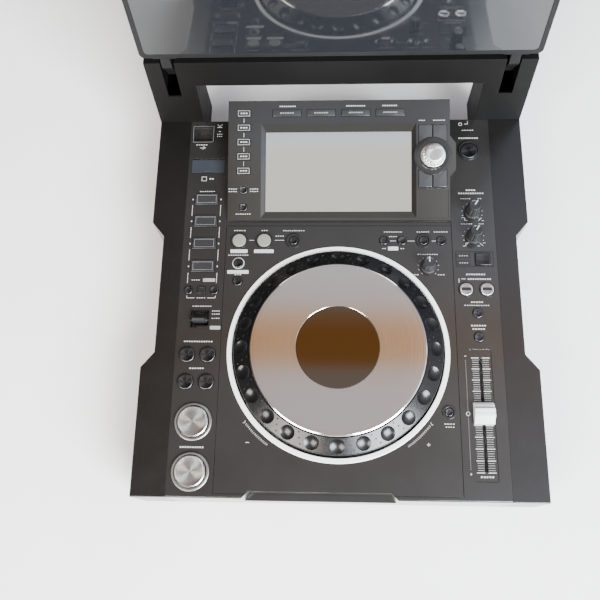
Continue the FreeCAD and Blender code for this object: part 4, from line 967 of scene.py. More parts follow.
# %% The transport keys and their rings
main_radius = 14.85 * mm
main_outline = [
    (main_radius + 1.2 * mm, flange_bottom),
    (main_radius + 1.2 * mm, key_under),
    (main_radius, key_under),
    (main_radius, 3.7 * mm),
    (main_radius - 0.15 * mm, 4.0 * mm),
    (main_radius - 0.9 * mm, 4.55 * mm),
    (main_radius - 1.2 * mm, 4.6 * mm),
    (main_radius - 1.6 * mm, 4.5 * mm),
    (0.6 * main_radius, 4.42 * mm),
    (0.3 * main_radius, 4.38 * mm),
    (0.0, 4.36 * mm),
]
ring_gap = 0.62 * mm
skin_outline = [
    (main_radius + ring_gap, 0.0),
    (18.3 * mm, 0.0),
    (18.3 * mm, 1.5 * mm),
    (18.1 * mm, 1.95 * mm),
    (17.6 * mm, 2.24 * mm),
    (main_radius + ring_gap + 0.5 * mm, 2.24 * mm),
    (main_radius + ring_gap, 1.9 * mm),
    (main_radius + ring_gap, 0.0),
]
play_axis = key_place("play_key")[0]
play_cap = lathe("play_key_cap", main_outline, play_axis, steps=120, angle=20)
lay_flat_map(play_cap, play_axis)
dress(play_cap, silver_finish, "play_key", "play_key")
play_ring = lathe("play_ring", skin_outline, play_axis, steps=120, angle=28)
lay_flat_map(play_ring, play_axis)
dress(play_ring, satin_ring_finish, "chassis", slot="deck_plastic")
shift = key_place("cue_key")[0] - play_axis
dress(copy_of(play_cap, "cue_key_cap", shift), silver_finish, "cue_key", "cue_key")
dress(copy_of(play_ring, "cue_ring", shift), satin_ring_finish, "chassis", slot="deck_plastic")
print("transport keys at", [round(v / mm, 1) for v in shift], "apart")

# %% [markdown]
# Some keys sit inside a turned collar: black around the eject key and the small round ones, white
# around one of them. A collar is a low ring with a rounded top, and it guards the key from a sleeve.


# %% Collars around keys
def collar(name, node, inner, outer, height, finish, slot_name):
    """A low turned ring on the deck around a key."""
    axis = key_place(node)[0]
    soft_edge = min(0.35 * mm, (outer - inner) / 3)
    outline = [
        (inner, 0.0),
        (outer, 0.0),
        (outer, height - soft_edge),
        (outer - 0.3 * soft_edge, height - 0.3 * soft_edge),
        (outer - soft_edge, height),
        (inner + soft_edge, height),
        (inner + 0.3 * soft_edge, height - 0.3 * soft_edge),
        (inner, height - soft_edge),
        (inner, 0.0),
    ]
    ring = lathe(name, outline, axis, steps=72, angle=35)
    return dress(ring, finish, "chassis", slot=slot_name)


collars = (
    ("eject_collar", "eject_key", 9.4, 10.9, 2.4),
    ("loop_in_collar", "loop_in_key", 7.45, 9.1, 1.3),
    ("loop_out_collar", "loop_out_key", 7.45, 9.1, 1.3),
    ("reloop_collar", "reloop_key", 4.9, 8.5, 1.2),
    ("delete_collar", "delete_key", 5.15, 7.9, 1.2),
    ("tempo_reset_collar", "tempo_reset_key", 4.45, 6.75, 1.2),
    ("sync_collar", "sync_key", 7.1, 7.8, 0.8),
    ("master_collar", "master_key", 7.1, 7.8, 0.8),
)
for name, node, inner, outer, height in collars:
    collar(name, node, inner * mm, outer * mm, height * mm, gloss_finish, "key_black")
collar("beat_collar", "beat_key", 5.4 * mm, 6.1 * mm, 0.5 * mm, ink_finish, "deck_plastic")
print(len(collars) + 1, "collars")

# %% [markdown]
# The small display sits in a sloping housing. Everything on it is modelled flat, in millimetres up
# the slope from the housing's front edge, and then laid on the slope by one matrix. The slope comes
# from the display's own solid: it is the tilt of its largest face.

# %% The slope of the display housing
panel_mesh = solids["display_panel"].data
face = max(panel_mesh.polygons, key=lambda polygon: polygon.area * (polygon.normal.z > 0.5))
slope_angle = math.atan2(-face.normal.y, face.normal.z)
housing_low, housing_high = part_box("display_housing")
slope_start = Vector((0, housing_low.y, deck_top + 2.0 * mm))
to_slope = Matrix.Translation(slope_start) @ Matrix.Rotation(slope_angle, 4, "X")
half_housing = 116.0 * mm


def on_slope(x, v, w=0.0):
    """A point in the flat layout of the slope: across, up the slope and out of it, in millimetres."""
    return Vector((x * mm, v * mm, w * mm))


def lay_on_slope(piece):
    """Moves a piece from the flat layout onto the slope."""
    piece.data.transform(to_slope)
    piece.data.update()
    return piece


print("the slope is", round(math.degrees(slope_angle), 2), "degrees")

# %% [markdown]
# A bevelled frame leads down to the display. In the photograph its sides catch a warm streak and its
# far edge a thin bright line, so the frame gets a narrow piece of its own: a fine glossy lip right at
# the glass. It is made from one plane by inset and by deleting the middle.


# %% The frame of the small display
def open_frame(name, centre, width, depth, border, thickness):
    """A flat rectangular frame: a plane, inset, its middle deleted, and the rest given a thickness."""
    clear_selection()
    bpy.ops.mesh.primitive_plane_add(size=1.0, location=centre)
    frame_piece = begin(name)
    bpy.ops.mesh.select_all(action="SELECT")
    bpy.ops.transform.resize(value=(width, depth, 1))
    bpy.ops.mesh.inset(thickness=border, depth=0.0)
    bpy.ops.mesh.delete(type="FACE")
    bpy.ops.mesh.select_all(action="SELECT")
    bpy.ops.mesh.extrude_region_move(TRANSFORM_OT_translate={"value": (0, 0, thickness)})
    return done(frame_piece)


display_front = 9.1
display_rear = 94.7
display_half = 76.7
bevel_depth = 1.5
display_spot = on_slope(0, (display_front + display_rear) / 2, -bevel_depth - 0.9)
lip = open_frame(
    "display_lip", display_spot, (2 * display_half + 0.2) * mm, (display_rear - display_front + 0.2) * mm, 0.55 * mm, 0.9 * mm
)
lay_on_slope(lip)
dress(lip, gloss_finish, "chassis", slot="deck_plastic")
print("display lip", round(2 * display_half, 1), "by", round(display_rear - display_front, 1))

# %% [markdown]
# The keys of the housing are flat caps that stand a hair above it. The left column has a pale
# outline printed on each, the row behind the display is plain, and the four round the selector are
# glossy grey. Square ones are blocks with a broken edge, copied along their row.

# %% Keys of the display housing
slope_foot = -3.8 * mm
key_top = 0.8 * mm
menu_x = -99.5
browse_v = 113.9
menu_pitch = 15.3
menu_count = 5
menu_row = [browse_v - i * menu_pitch for i in range(menu_count)]


def group_on_slope(parts, name, node):
    """Joins flat-layout keys, lays them on the slope and lets them stand for their solid."""
    whole = join(parts, name)
    lay_on_slope(whole)
    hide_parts(node)
    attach(whole, node)
    return whole


first = flat_key("menu_key", on_slope(menu_x, menu_row[0]), 14.2 * mm, 7.2 * mm, key_top, edge=0.3 * mm, foot=slope_foot)
first.data.materials.append(key_finish)
menu_parts = [first]
for v in menu_row[1:]:
    menu_parts.append(copy_of(first, "menu_key", on_slope(0, v - menu_row[0])))
for v in (14.2, 32.4):
    menu_parts.append(turned_key("menu_round", on_slope(menu_x, v), 4.2 * mm, key_top, dark_spun_finish))
outline = open_frame("menu_outline", on_slope(menu_x, menu_row[0], 0.8), 12.4 * mm, 6.0 * mm, 0.28 * mm, 0.03 * mm)
outline.data.materials.append(ink_finish)
menu_parts.append(outline)
for v in menu_row[1:]:
    menu_parts.append(copy_of(outline, "menu_outline", on_slope(0, v - menu_row[0])))
group_on_slope(menu_parts, "menu_key_group", "menu_keys")

browse_pitch = 36.1
browse_x = [(i - 1.5) * browse_pitch for i in range(4)]
first = flat_key("browse_key", on_slope(browse_x[0], browse_v), 29.8 * mm, 7.2 * mm, key_top, edge=0.35 * mm, foot=slope_foot)
first.data.materials.append(key_finish)
browse_parts = [first]
for x in browse_x[1:]:
    browse_parts.append(copy_of(first, "browse_key", on_slope(x - browse_x[0], 0)))
group_on_slope(browse_parts, "browse_key_group", "browse_keys")
print("menu keys", menu_count + 2, "browse keys", len(browse_x))

# %% [markdown]
# The four keys around the selector are one rounded plate split in four, cut away in the middle for
# the collar. Each starts as a block, and a cylinder cuts the arc out of its corner. The selector's
# collar is a deep black ring, its base a silver one, and its grip is fluted so fingers hold.

# %% The keys around the selector
nav_finish = moulded("key_gloss_grey", (0.028, 0.029, 0.032), 0.12, depth=0.000003, smear=0.05, edge=0.0003)
selector_x = 98.1
selector_v = 67.5
nav_width = 29.1
nav_length = 65.4
nav_split = 0.8
collar_radius = 19.9
nav_parts = []
for side_sign in (-1, 1):
    for end_sign in (-1, 1):
        x = selector_x + side_sign * (nav_width + nav_split) / 4
        v = selector_v + end_sign * (nav_length + nav_split) / 4
        size = ((nav_width - nav_split) / 2 * mm, (nav_length - nav_split) / 2 * mm)
        key = flat_key("nav_key", on_slope(x, v), *size, key_top, edge=0.5 * mm, foot=slope_foot)
        clear_selection()
        bpy.ops.mesh.primitive_cylinder_add(
            vertices=96, radius=(collar_radius + 0.3) * mm, depth=30 * mm, location=on_slope(selector_x, selector_v)
        )
        tool = bpy.context.object
        cut = key.modifiers.new("collar", "BOOLEAN")
        cut.operation = "DIFFERENCE"
        cut.solver = "EXACT"
        cut.object = tool
        clear_selection()
        key.select_set(True)
        bpy.context.view_layer.objects.active = key
        bpy.ops.object.modifier_apply(modifier="collar")
        bpy.data.objects.remove(tool)
        key.data.materials.append(nav_finish)
        nav_parts.append(key)
group_on_slope(nav_parts, "nav_key_group", "nav_keys")
print(len(nav_parts), "keys around the selector")

# %% The selector's collar, base ring and fluted grip
collar_outline = [
    (12.0 * mm, 0.4 * mm),
    (collar_radius * mm, 0.0),
    ((collar_radius + 0.05) * mm, 0.8 * mm),
    ((collar_radius - 0.3) * mm, 1.25 * mm),
    ((collar_radius - 1.2) * mm, 1.45 * mm),
    (14.4 * mm, 1.3 * mm),
    (13.8 * mm, 1.2 * mm),
    (12.0 * mm, 1.15 * mm),
    (12.0 * mm, 0.4 * mm),
]
selector_axis = on_slope(selector_x, selector_v)
collar_piece = lathe("selector_collar", collar_outline, selector_axis, steps=120, angle=35)
lay_on_slope(collar_piece)
dress(collar_piece, gloss_finish, "chassis", slot="deck_plastic")

base_outline = [
    (8.0 * mm, 2.3 * mm),
    (12.6 * mm, 2.3 * mm),
    (13.0 * mm, 2.7 * mm),
    (13.0 * mm, 3.9 * mm),
    (12.5 * mm, 4.6 * mm),
    (11.6 * mm, 4.9 * mm),
    (8.0 * mm, 4.9 * mm),
    (8.0 * mm, 2.3 * mm),
]
base_ring = lathe("selector_base", base_outline, selector_axis, steps=120, angle=35)
lay_flat_map(base_ring, selector_axis)
base_ring.data.materials.append(silver_finish)

flute_count = 20
flute_steps = 6
grip_steps = flute_count * flute_steps
flute_depth = 0.93
grip_outline = [
    (10.9 * mm, 4.6 * mm),
    (10.9 * mm, 5.2 * mm),
    (10.6 * mm, 9.0 * mm),
    (10.3 * mm, 13.6 * mm),
    (10.0 * mm, 15.0 * mm),
    (9.4 * mm, 15.7 * mm),
    (8.8 * mm, 15.95 * mm),
    (6.0 * mm, 16.0 * mm),
    (0.0, 16.0 * mm),
]
grip_piece = lathe("selector_grip", grip_outline, selector_axis, steps=grip_steps, angle=50)
clear_selection()
grip_piece.select_set(True)
bpy.context.view_layer.objects.active = grip_piece
bpy.ops.object.mode_set(mode="EDIT")


def in_flute(point):
    """True for the three middle columns of each flute, below the grip's rounded top."""
    offset = point - selector_axis
    if offset.z > 14.0 * mm or offset.z < 5.0 * mm:
        return False
    column = round(math.atan2(offset.y, offset.x) / (2 * math.pi) * grip_steps) % flute_steps
    return column in (1, 2, 3)


bpy.ops.mesh.select_mode(type="VERT")
bpy.ops.mesh.select_all(action="DESELECT")
mesh = bmesh.from_edit_mesh(grip_piece.data)
for corner in mesh.verts:
    corner.select_set(in_flute(corner.co))
bmesh.update_edit_mesh(grip_piece.data)
bpy.ops.transform.resize(value=(flute_depth, flute_depth, 1), center_override=selector_axis)
done(grip_piece, angle=24)
lay_flat_map(grip_piece, selector_axis)
grip_piece.data.materials.append(silver_finish)
selector_whole = join([base_ring, grip_piece], "selector_knob_turned")
lay_on_slope(selector_whole)
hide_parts("selector_knob")
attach(selector_whole, "selector")
print("selector with", flute_count, "flutes")

# %% [markdown]
# The three black knobs have a broad skirt, a grip with ribs that narrows upwards, and a white line
# that runs over the top and down the front, so the setting is read from above. The grip is turned
# with many columns and every other pair of columns is pulled in. The line is a thin bent strip.


# %% Knobs with a pointer
def pointer_knob(node, height, pointer_turn):
    """A ribbed knob in place of a knob's solid, its pointer turned by an angle in degrees."""
    axis = middle(node)
    axis.z = deck_top
    ribs = 18
    steps = ribs * 4
    outline = [
        (3.0 * mm, -8.0 * mm),
        (3.0 * mm, 0.3 * mm),
        (8.2 * mm, 0.3 * mm),
        (8.4 * mm, 0.6 * mm),
        (8.4 * mm, 2.0 * mm),
        (8.0 * mm, 2.5 * mm),
        (7.2 * mm, 2.8 * mm),
        (7.0 * mm, 3.6 * mm),
        (6.3 * mm, height - 1.6 * mm),
        (6.0 * mm, height - 0.7 * mm),
        (5.5 * mm, height - 0.15 * mm),
        (5.0 * mm, height),
        (4.6 * mm, height - 0.25 * mm),
        (0.0, height - 0.3 * mm),
    ]
    knob = lathe(node + "_turned", outline, axis, steps, angle=40)
    clear_selection()
    knob.select_set(True)
    bpy.context.view_layer.objects.active = knob
    bpy.ops.object.mode_set(mode="EDIT")
    bpy.ops.mesh.select_mode(type="VERT")
    bpy.ops.mesh.select_all(action="DESELECT")
    shaped = bmesh.from_edit_mesh(knob.data)
    for corner in shaped.verts:
        offset = corner.co - axis
        column = round(math.atan2(offset.y, offset.x) / (2 * math.pi) * steps) % 4
        corner.select_set(3.0 * mm < offset.z < height - 0.5 * mm and column in (1, 2))
    bmesh.update_edit_mesh(knob.data)
    bpy.ops.transform.resize(value=(0.93, 0.93, 1), center_override=axis)
    done(knob, angle=26)
    knob.data.materials.append(knob_finish)

    clear_selection()
    bpy.ops.mesh.primitive_plane_add(size=1.0, location=axis + Vector((0, 3.0 * mm, height - 0.05 * mm)))
    line = begin(node + "_pointer")
    bpy.ops.mesh.select_all(action="SELECT")
    bpy.ops.transform.resize(value=(1.1 * mm, 5.4 * mm, 1))
    pick_edges(lambda a, b: min(a.y, b.y) > 2.6 * mm)
    bpy.ops.mesh.extrude_edges_move(TRANSFORM_OT_translate={"value": (0, 0.35 * mm, -0.9 * mm)})
    bpy.ops.mesh.extrude_edges_move(TRANSFORM_OT_translate={"value": (0, 0.75 * mm, 2.9 * mm - height)})
    bpy.ops.mesh.select_all(action="SELECT")
    bpy.ops.mesh.extrude_region_move(TRANSFORM_OT_translate={"value": (0, 0.1 * mm, 0.12 * mm)})
    done(line)
    line.data.materials.append(ink_finish)
    line.data.transform(Matrix.Translation(axis) @ Matrix.Rotation(pointer_turn, 4, "Z") @ Matrix.Translation(-axis))
    whole = join([knob, line], node + "_knob")
    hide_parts(node)
    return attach(whole, node)


pointer_knob("touch_speed_knob", 18.0 * mm, math.radians(-32))
pointer_knob("release_speed_knob", 18.0 * mm, math.radians(-32))
pointer_knob("jog_adjust_knob", 13.0 * mm, 0.0)
print("three knobs")

# %% [markdown]
# The tempo slider's cap is pale plastic with a raised bar across, which lines up with the scale.
# Its sides slope, and steps on both slopes give the finger a hold. The
# side view is drawn once as a strip of edges and pulled out to the cap's width.

# %% The slider cap
fader_low, fader_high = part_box("tempo_fader")
fader_spot = middle("tempo_fader")
fader_spot.z = deck_top
half_length = (fader_high.y - fader_low.y) / 2
cap_half = (fader_high.x - fader_low.x) / 2
side_view = [
    (-half_length, -0.5 * mm),
    (-half_length, 3.6 * mm),
    (-half_length + 0.5 * mm, 4.3 * mm),
    (-8.2 * mm, 5.3 * mm),
    (-7.9 * mm, 5.9 * mm),
    (-6.9 * mm, 6.1 * mm),
    (-6.6 * mm, 6.7 * mm),
    (-5.4 * mm, 6.9 * mm),
    (-4.9 * mm, 7.4 * mm),
    (-4.4 * mm, 9.3 * mm),
    (-3.9 * mm, 9.8 * mm),
    (-3.2 * mm, 10.0 * mm),
    (-0.55 * mm, 9.85 * mm),
    (-0.45 * mm, 9.45 * mm),
]
full_view = side_view + [(-y, z) for y, z in reversed(side_view)]
clear_selection()
bpy.ops.mesh.primitive_plane_add(size=0.001, location=fader_spot)
fader_cap = begin("slider_cap")
bpy.ops.mesh.select_all(action="SELECT")
bpy.ops.mesh.delete(type="VERT")
shaped = bmesh.from_edit_mesh(fader_cap.data)
corners = [shaped.verts.new((-cap_half, y, z)) for y, z in full_view]
shaped.faces.new(corners)
bmesh.update_edit_mesh(fader_cap.data)
bpy.ops.mesh.select_all(action="SELECT")
bpy.ops.mesh.extrude_region_move(TRANSFORM_OT_translate={"value": (2 * cap_half, 0, 0)})
pick_edges(lambda a, b: abs(a.x - b.x) < 0.01 * mm and min(a.z, b.z) > 3.0 * mm)
bpy.ops.mesh.bevel(offset=0.25 * mm, segments=2)
done(fader_cap, angle=35)
fader_cap.data.materials.append(white_finish)
clear_selection()
bpy.ops.mesh.primitive_cube_add(size=1.0, location=fader_spot + Vector((0, 0, -5.4 * mm)))
stem = begin("slider_stem")
bpy.ops.mesh.select_all(action="SELECT")
bpy.ops.transform.resize(value=(2.0 * mm, 6.0 * mm, 10.2 * mm))
pick_faces(lambda spot, normal: normal.z < -0.9)
bpy.ops.mesh.extrude_region_move(TRANSFORM_OT_translate={"value": (0, 0, -0.01 * mm)})
bpy.ops.transform.resize(value=(5.0, 1.33, 1))
done(stem)
stem.data.materials.append(steel_finish)
slider = join([fader_cap, stem], "slider_whole")
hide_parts("tempo_fader")
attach(slider, "tempo_fader")
print("slider cap", round(2 * cap_half / mm, 1), "by", round(2 * half_length / mm, 1))

# %% [markdown]
# The direction lever is a small paddle that leans in a square well. The well's rim and a paler face
# on the paddle make it readable from above. Its solid keeps the barrel and the pin.

# %% The direction lever's rim and the frames of the sockets
lever = middle("direction_lever")
lever_frame_spot = Vector((lever.x, deck_front + 175.2 * mm, deck_top))
lever_rim = open_frame("lever_rim", lever_frame_spot, 20.6 * mm, 20.6 * mm, 0.95 * mm, 0.35 * mm)
dress(lever_rim, gloss_finish, "chassis", slot="deck_plastic")
usb_spot = place(-147.4, 386.0)
usb_rim = open_frame("usb_rim", usb_spot, 22.8 * mm, 20.2 * mm, 1.35 * mm, 0.8 * mm)
dress(usb_rim, gloss_finish, "chassis", slot="deck_plastic")
usb_line = open_frame("usb_line", usb_spot + Vector((0, 0, 0.8 * mm)), 22.4 * mm, 19.8 * mm, 0.25 * mm, 0.02 * mm)
dress(usb_line, grey_ink_and_painted_highlight, "chassis", slot="deck_plastic")
print("rims ready")

# %% [markdown]
# The printing on the deck is a thin layer of white ink. The real one has words. Here each word is a
# row of short dashes of the same length and height, which says nothing and names nobody. Boxes,
# lines, ticks and arrows are kept. Every mark starts as a plane of its own inside one mesh, is
# stretched in place and pulled up by the thickness of the ink.


# %% Helpers for printed marks
ink_height = 0.05 * mm


def new_print(name):
    """An empty piece in edit mode, ready for marks."""
    clear_selection()
    bpy.ops.mesh.primitive_plane_add(size=mm)
    sheet = begin(name)
    bpy.ops.mesh.select_all(action="SELECT")
    bpy.ops.mesh.delete(type="VERT")
    return sheet


def mark(x, y, width, depth, turn=0.0, z=0.0):
    """One mark with flat ends, centred on a place in metres."""
    spot = Vector((x, y, z))
    bpy.ops.mesh.primitive_plane_add(size=1.0, location=spot)
    bpy.ops.transform.resize(value=(width, depth, 1), center_override=spot)
    if turn:
        bpy.ops.transform.rotate(value=turn, orient_axis="Z", center_override=spot)
    bpy.ops.mesh.extrude_region_move(TRANSFORM_OT_translate={"value": (0, 0, ink_height)})


def word(x, y, width, depth=1.0 * mm, z=0.0):
    """A row of short dashes where the photograph has a word."""
    count = max(1, round(width / (2.4 * mm)))
    pitch = width / count
    for i in range(count):
        mark(x - width / 2 + (i + 0.5) * pitch, y, pitch - 0.95 * mm, 0.8 * depth, z=z)


def label(x, y, width, depth, z=0.0):
    """A box filled with ink, its corners cut by a shorter and a longer bar."""
    mark(x, y, width, depth - 0.8 * mm, z=z)
    for side_sign in (-1, 1):
        mark(x, y + side_sign * (depth / 2 - 0.2 * mm), width - 0.8 * mm, 0.4 * mm, z=z)


def by(node, dx, dy):
    """A place on the deck, in millimetres from the middle of a key."""
    spot = middle(node)
    return spot.x + dx * mm, spot.y + dy * mm, deck_top


def caption(node, dx, dy, width, depth=1.1):
    """A word beside a key."""
    x, y, z = by(node, dx, dy)
    word(x, y, width * mm, depth * mm, z)


def line_by(node, dx, dy, width, depth=0.45, turn=0.0):
    """A straight line beside a key."""
    x, y, z = by(node, dx, dy)
    mark(x, y, width * mm, depth * mm, turn, z)


print("ink", round(ink_height / mm, 3), "mm thick")

# %% Marks on the centre panel
panel_print = new_print("panel_print")
caption("loop_in_key", 0.0, 11.6, 12.9)
caption("loop_out_key", 0.0, 11.6, 7.2)
caption("reloop_key", 0.0, 11.4, 23.0)
caption("reloop_key", -14.6, 5.2, 9.5)
line_by("loop_in_key", 12.9, 0.6, 5.0)
line_by("reloop_key", -14.6, 0.6, 9.6)
for node, dx, dy, width in (
    ("loop_in_key", 0.1, -11.6, 17.8),
    ("loop_out_key", 0.0, -11.6, 20.5),
    ("beat_key", 0.0, -9.6, 22.0),
):
    x, y, z = by(node, dx, dy)
    label(x, y, width * mm, 3.9 * mm, z)
caption("beat_key", -0.5, 8.9, 21.5)
caption("slip_key", 0.0, 7.0, 7.5)
call_x, call_y = middle("cue_call_keys").x, middle("cue_call_keys").y
word(call_x, call_y + 9.8 * mm, 19.3 * mm, z=deck_top)
word(call_x, call_y + 4.6 * mm, 8.6 * mm, z=deck_top)
for end_sign in (-1, 1):
    word(call_x + end_sign * 9.3 * mm, call_y - 8.7 * mm, 4.6 * mm, z=deck_top)
label(call_x, call_y - 8.6 * mm, 10.5 * mm, 4.2 * mm, deck_top)
mark(call_x, call_y - 0.2 * mm, 6.3 * mm, 0.45 * mm, z=deck_top)
caption("delete_key", -0.3, 9.8, 13.7)
caption("memory_key", -0.3, 9.8, 15.0)
line_by("delete_key", -12.6, -0.3, 7.2)
line_by("delete_key", 10.4, -0.3, 4.2)
caption("jog_adjust_knob", -0.3, 13.2, 21.5)
caption("jog_adjust_knob", -12.6, -8.9, 5.9)
caption("jog_adjust_knob", 12.6, -8.9, 7.6)
caption("tempo_reset_key", 0.0, -11.3, 10.6)
caption("tempo_reset_key", 0.3, -14.2, 9.0)
print("centre panel marked")


# %% Ticks around the knobs and arcs beside the dial
def ticks_around(node, radius, count, first, last, length=1.1):
    """Short ticks in a ring around a knob, between two angles in degrees."""
    spot = middle(node)
    for i in range(count):
        angle = math.radians(first + (last - first) * i / (count - 1))
        x = spot.x + radius * mm * math.cos(angle)
        y = spot.y + radius * mm * math.sin(angle)
        mark(x, y, length * mm, 0.4 * mm, angle, deck_top)


def arc_line(centre, radius, first, last, steps, width):
    """A curved line made of short straight marks that touch."""
    step = (last - first) / steps
    for i in range(steps):
        angle = math.radians(first + (i + 0.5) * step)
        length = 2 * radius * math.sin(math.radians(abs(step)) / 2) + 0.12 * mm
        x = centre.x + radius * math.cos(angle)
        y = centre.y + radius * math.sin(angle)
        mark(x, y, width, length, angle, deck_top)


ticks_around("jog_adjust_knob", 10.3, 11, -48, 228)
dial = middle("jog_ring")
arc_radius = 114.6 * mm
for first, last in ((-140.5, -125.5), (-54.5, -39.5)):
    arc_line(dial, arc_radius, first, last, 16, 0.45 * mm)
for angle, turn in ((-140.8, -35), (-39.2, 35)):
    tip = math.radians(angle)
    for lean in (-28, 28):
        away = math.radians(angle - math.copysign(90, turn) + 180 + lean)
        x = dial.x + arc_radius * math.cos(tip) + 1.2 * mm * math.cos(away)
        y = dial.y + arc_radius * math.sin(tip) + 1.2 * mm * math.sin(away)
        mark(x, y, 2.4 * mm, 0.45 * mm, away, deck_top)
mark(dial.x - 86.0 * mm, dial.y - 91.0 * mm, 3.4 * mm, 0.6 * mm, z=deck_top)
mark(dial.x + 86.0 * mm, dial.y - 91.0 * mm, 3.4 * mm, 0.6 * mm, z=deck_top)
mark(dial.x + 86.0 * mm, dial.y - 91.0 * mm, 0.6 * mm, 3.4 * mm, z=deck_top)
done(panel_print)
dress(panel_print, ink_finish, "chassis", slot="deck_plastic")
beat_axis = middle("beat_key")
ring_mark = [
    (5.9 * mm, deck_top - beat_axis.z),
    (6.3 * mm, deck_top - beat_axis.z),
    (6.3 * mm, deck_top - beat_axis.z + ink_height),
    (5.9 * mm, deck_top - beat_axis.z + ink_height),
    (5.9 * mm, deck_top - beat_axis.z),
]
beat_ring = lathe("beat_ring_print", ring_mark, beat_axis, 64)
dress(beat_ring, ink_finish, "chassis", slot="deck_plastic")
print("ticks and arcs done")

# %% Marks on the left strip
left_print = new_print("left_print")
column = middle("cue_pad_a").x
pad_y = [middle("cue_pad_" + letter).y for letter in "abcd"]
word(column, pad_y[0] + 9.4 * mm, 16.8 * mm, z=deck_top)
pad_step = pad_y[0] - pad_y[1]
for y in pad_y:
    for side_sign in (-1, 1):
        mark(column + side_sign * 15.0 * mm, y, 1.1 * mm, 1.4 * mm, z=deck_top)
for i, y in enumerate(pad_y):
    length = 12.3 if i < 3 else 11.0
    for side_sign in (-1, 1):
        mark(column + side_sign * 15.0 * mm, y - pad_step / 2, 0.5 * mm, length * mm, z=deck_top)
word(column - 6.6 * mm, pad_y[3] - 15.0 * mm, 9.2 * mm, z=deck_top)
bank = middle("bank_keys")
for side_sign in (-1, 1):
    mark(bank.x + side_sign * 10.6 * mm, bank.y - 8.2 * mm, 8.4 * mm, 0.5 * mm, z=deck_top)
    mark(bank.x + side_sign * 14.6 * mm, bank.y - 7.2 * mm, 0.5 * mm, 2.4 * mm, z=deck_top)
word(bank.x, bank.y - 8.2 * mm, 9.6 * mm, z=deck_top)
lever_place = Vector((lever.x, deck_front + 175.2 * mm, deck_top))
word(lever_place.x + 1.6 * mm, lever_place.y + 13.2 * mm, 20.0 * mm, z=deck_top)
for dy, width in ((8.2, 8.6), (4.9, 8.6), (0.4, 8.8)):
    word(lever_place.x + 16.2 * mm, lever_place.y + dy * mm, width * mm, z=deck_top)
search_x = column
for node, dy, width in (("track_back_key", 13.6, 29.5), ("search_back_key", 13.6, 15.2)):
    spot = middle(node)
    word(search_x, spot.y + dy * mm, width * mm, 1.5 * mm, z=deck_top)
word(column, middle("play_key").y + 22.9 * mm, 23.6 * mm, 1.9 * mm, z=deck_top)
usb_x, usb_y = usb_spot.x, usb_spot.y
word(usb_x - 1.4 * mm, usb_y - 12.9 * mm, 13.0 * mm, 1.1 * mm, z=deck_top)
mark(usb_x, usb_y - 16.6 * mm, 6.2 * mm, 0.5 * mm, z=deck_top)
mark(usb_x + 1.4 * mm, usb_y - 15.6 * mm, 2.6 * mm, 0.4 * mm, math.radians(35), z=deck_top)
mark(usb_x + 0.6 * mm, usb_y - 17.6 * mm, 2.6 * mm, 0.4 * mm, math.radians(-35), z=deck_top)
mark(usb_x + 17.4 * mm, usb_y + 8.6 * mm, 5.0 * mm, 1.0 * mm, z=deck_top)
for side_sign in (-1, 1):
    turn = math.radians(-side_sign * 48)
    mark(usb_x + (17.4 + side_sign * 1.35) * mm, usb_y + 11.0 * mm, 3.6 * mm, 0.5 * mm, turn, deck_top)
for dy, width in ((3.6, 3.2), (0.0, 6.6), (-2.6, 6.6)):
    word(usb_x + 17.6 * mm, usb_y + dy * mm, width * mm, 1.1 * mm, z=deck_top)
card_spot = middle("card_door")
word(card_spot.x + 4.4 * mm, card_spot.y - 15.6 * mm, 5.4 * mm, 1.9 * mm, z=deck_top)
done(left_print)
dress(left_print, ink_finish, "chassis", slot="deck_plastic")
card_icon = open_frame(
    "card_icon", Vector((card_spot.x - 3.6 * mm, card_spot.y - 15.6 * mm, deck_top)), 5.4 * mm, 5.2 * mm, 0.5 * mm, ink_height
)
dress(card_icon, ink_finish, "chassis", slot="deck_plastic")
# A thin grey line painted just inside each pad's raised frame is a painted highlight: it stands for the line of light
# that the frame catches.
for letter in "abcd":
    pad_low, pad_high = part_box("cue_pad_" + letter)
    pad_middle = Vector(((pad_low.x + pad_high.x) / 2, (pad_low.y + pad_high.y) / 2, pad_high.z))
    painted_pad_highlight = open_frame("painted_pad_highlight_" + letter, pad_middle, 20.6 * mm, 8.8 * mm, 0.3 * mm, 0.03 * mm)
    dress(painted_pad_highlight, grey_ink_and_painted_highlight, "cue_pad_" + letter, slot="key_black")
grey_print = new_print("grey_print")
label(column + 7.3 * mm, pad_y[3] - 15.0 * mm, 12.6 * mm, 3.8 * mm, deck_top)
label(lever_place.x + 16.2 * mm, lever_place.y - 9.4 * mm, 10.6 * mm, 3.8 * mm, deck_top)
print("left strip marked")

# %% Marks on the right strip and the scale of the slider
mode_spot = middle("jog_mode_key")
for dy in (3.7, -4.0):
    word(mode_spot.x - 19.3 * mm, mode_spot.y + dy * mm, 9.6 * mm, 1.3 * mm, z=deck_top + 0.45 * mm)
slot_spot = Vector((fader_spot.x, fader_spot.y, deck_top - 0.8 * mm))
scale_steps = 50
scale_pitch = 2.2 * mm
for i in range(scale_steps + 1):
    y = slot_spot.y + (i - scale_steps / 2) * scale_pitch
    if i % 5:
        for side_sign in (-1, 1):
            mark(slot_spot.x + side_sign * 5.0 * mm, y, 6.2 * mm, 0.5 * mm, z=slot_spot.z)
for i in range(27):
    for end_sign in (-1, 1):
        y = slot_spot.y + end_sign * (2.6 + i * 1.9) * mm
        mark(slot_spot.x - 14.6 * mm, y, 0.6 * mm, 0.6 * mm, z=deck_top)
done(grey_print)
dress(grey_print, grey_ink_and_painted_highlight, "chassis", slot="deck_plastic")

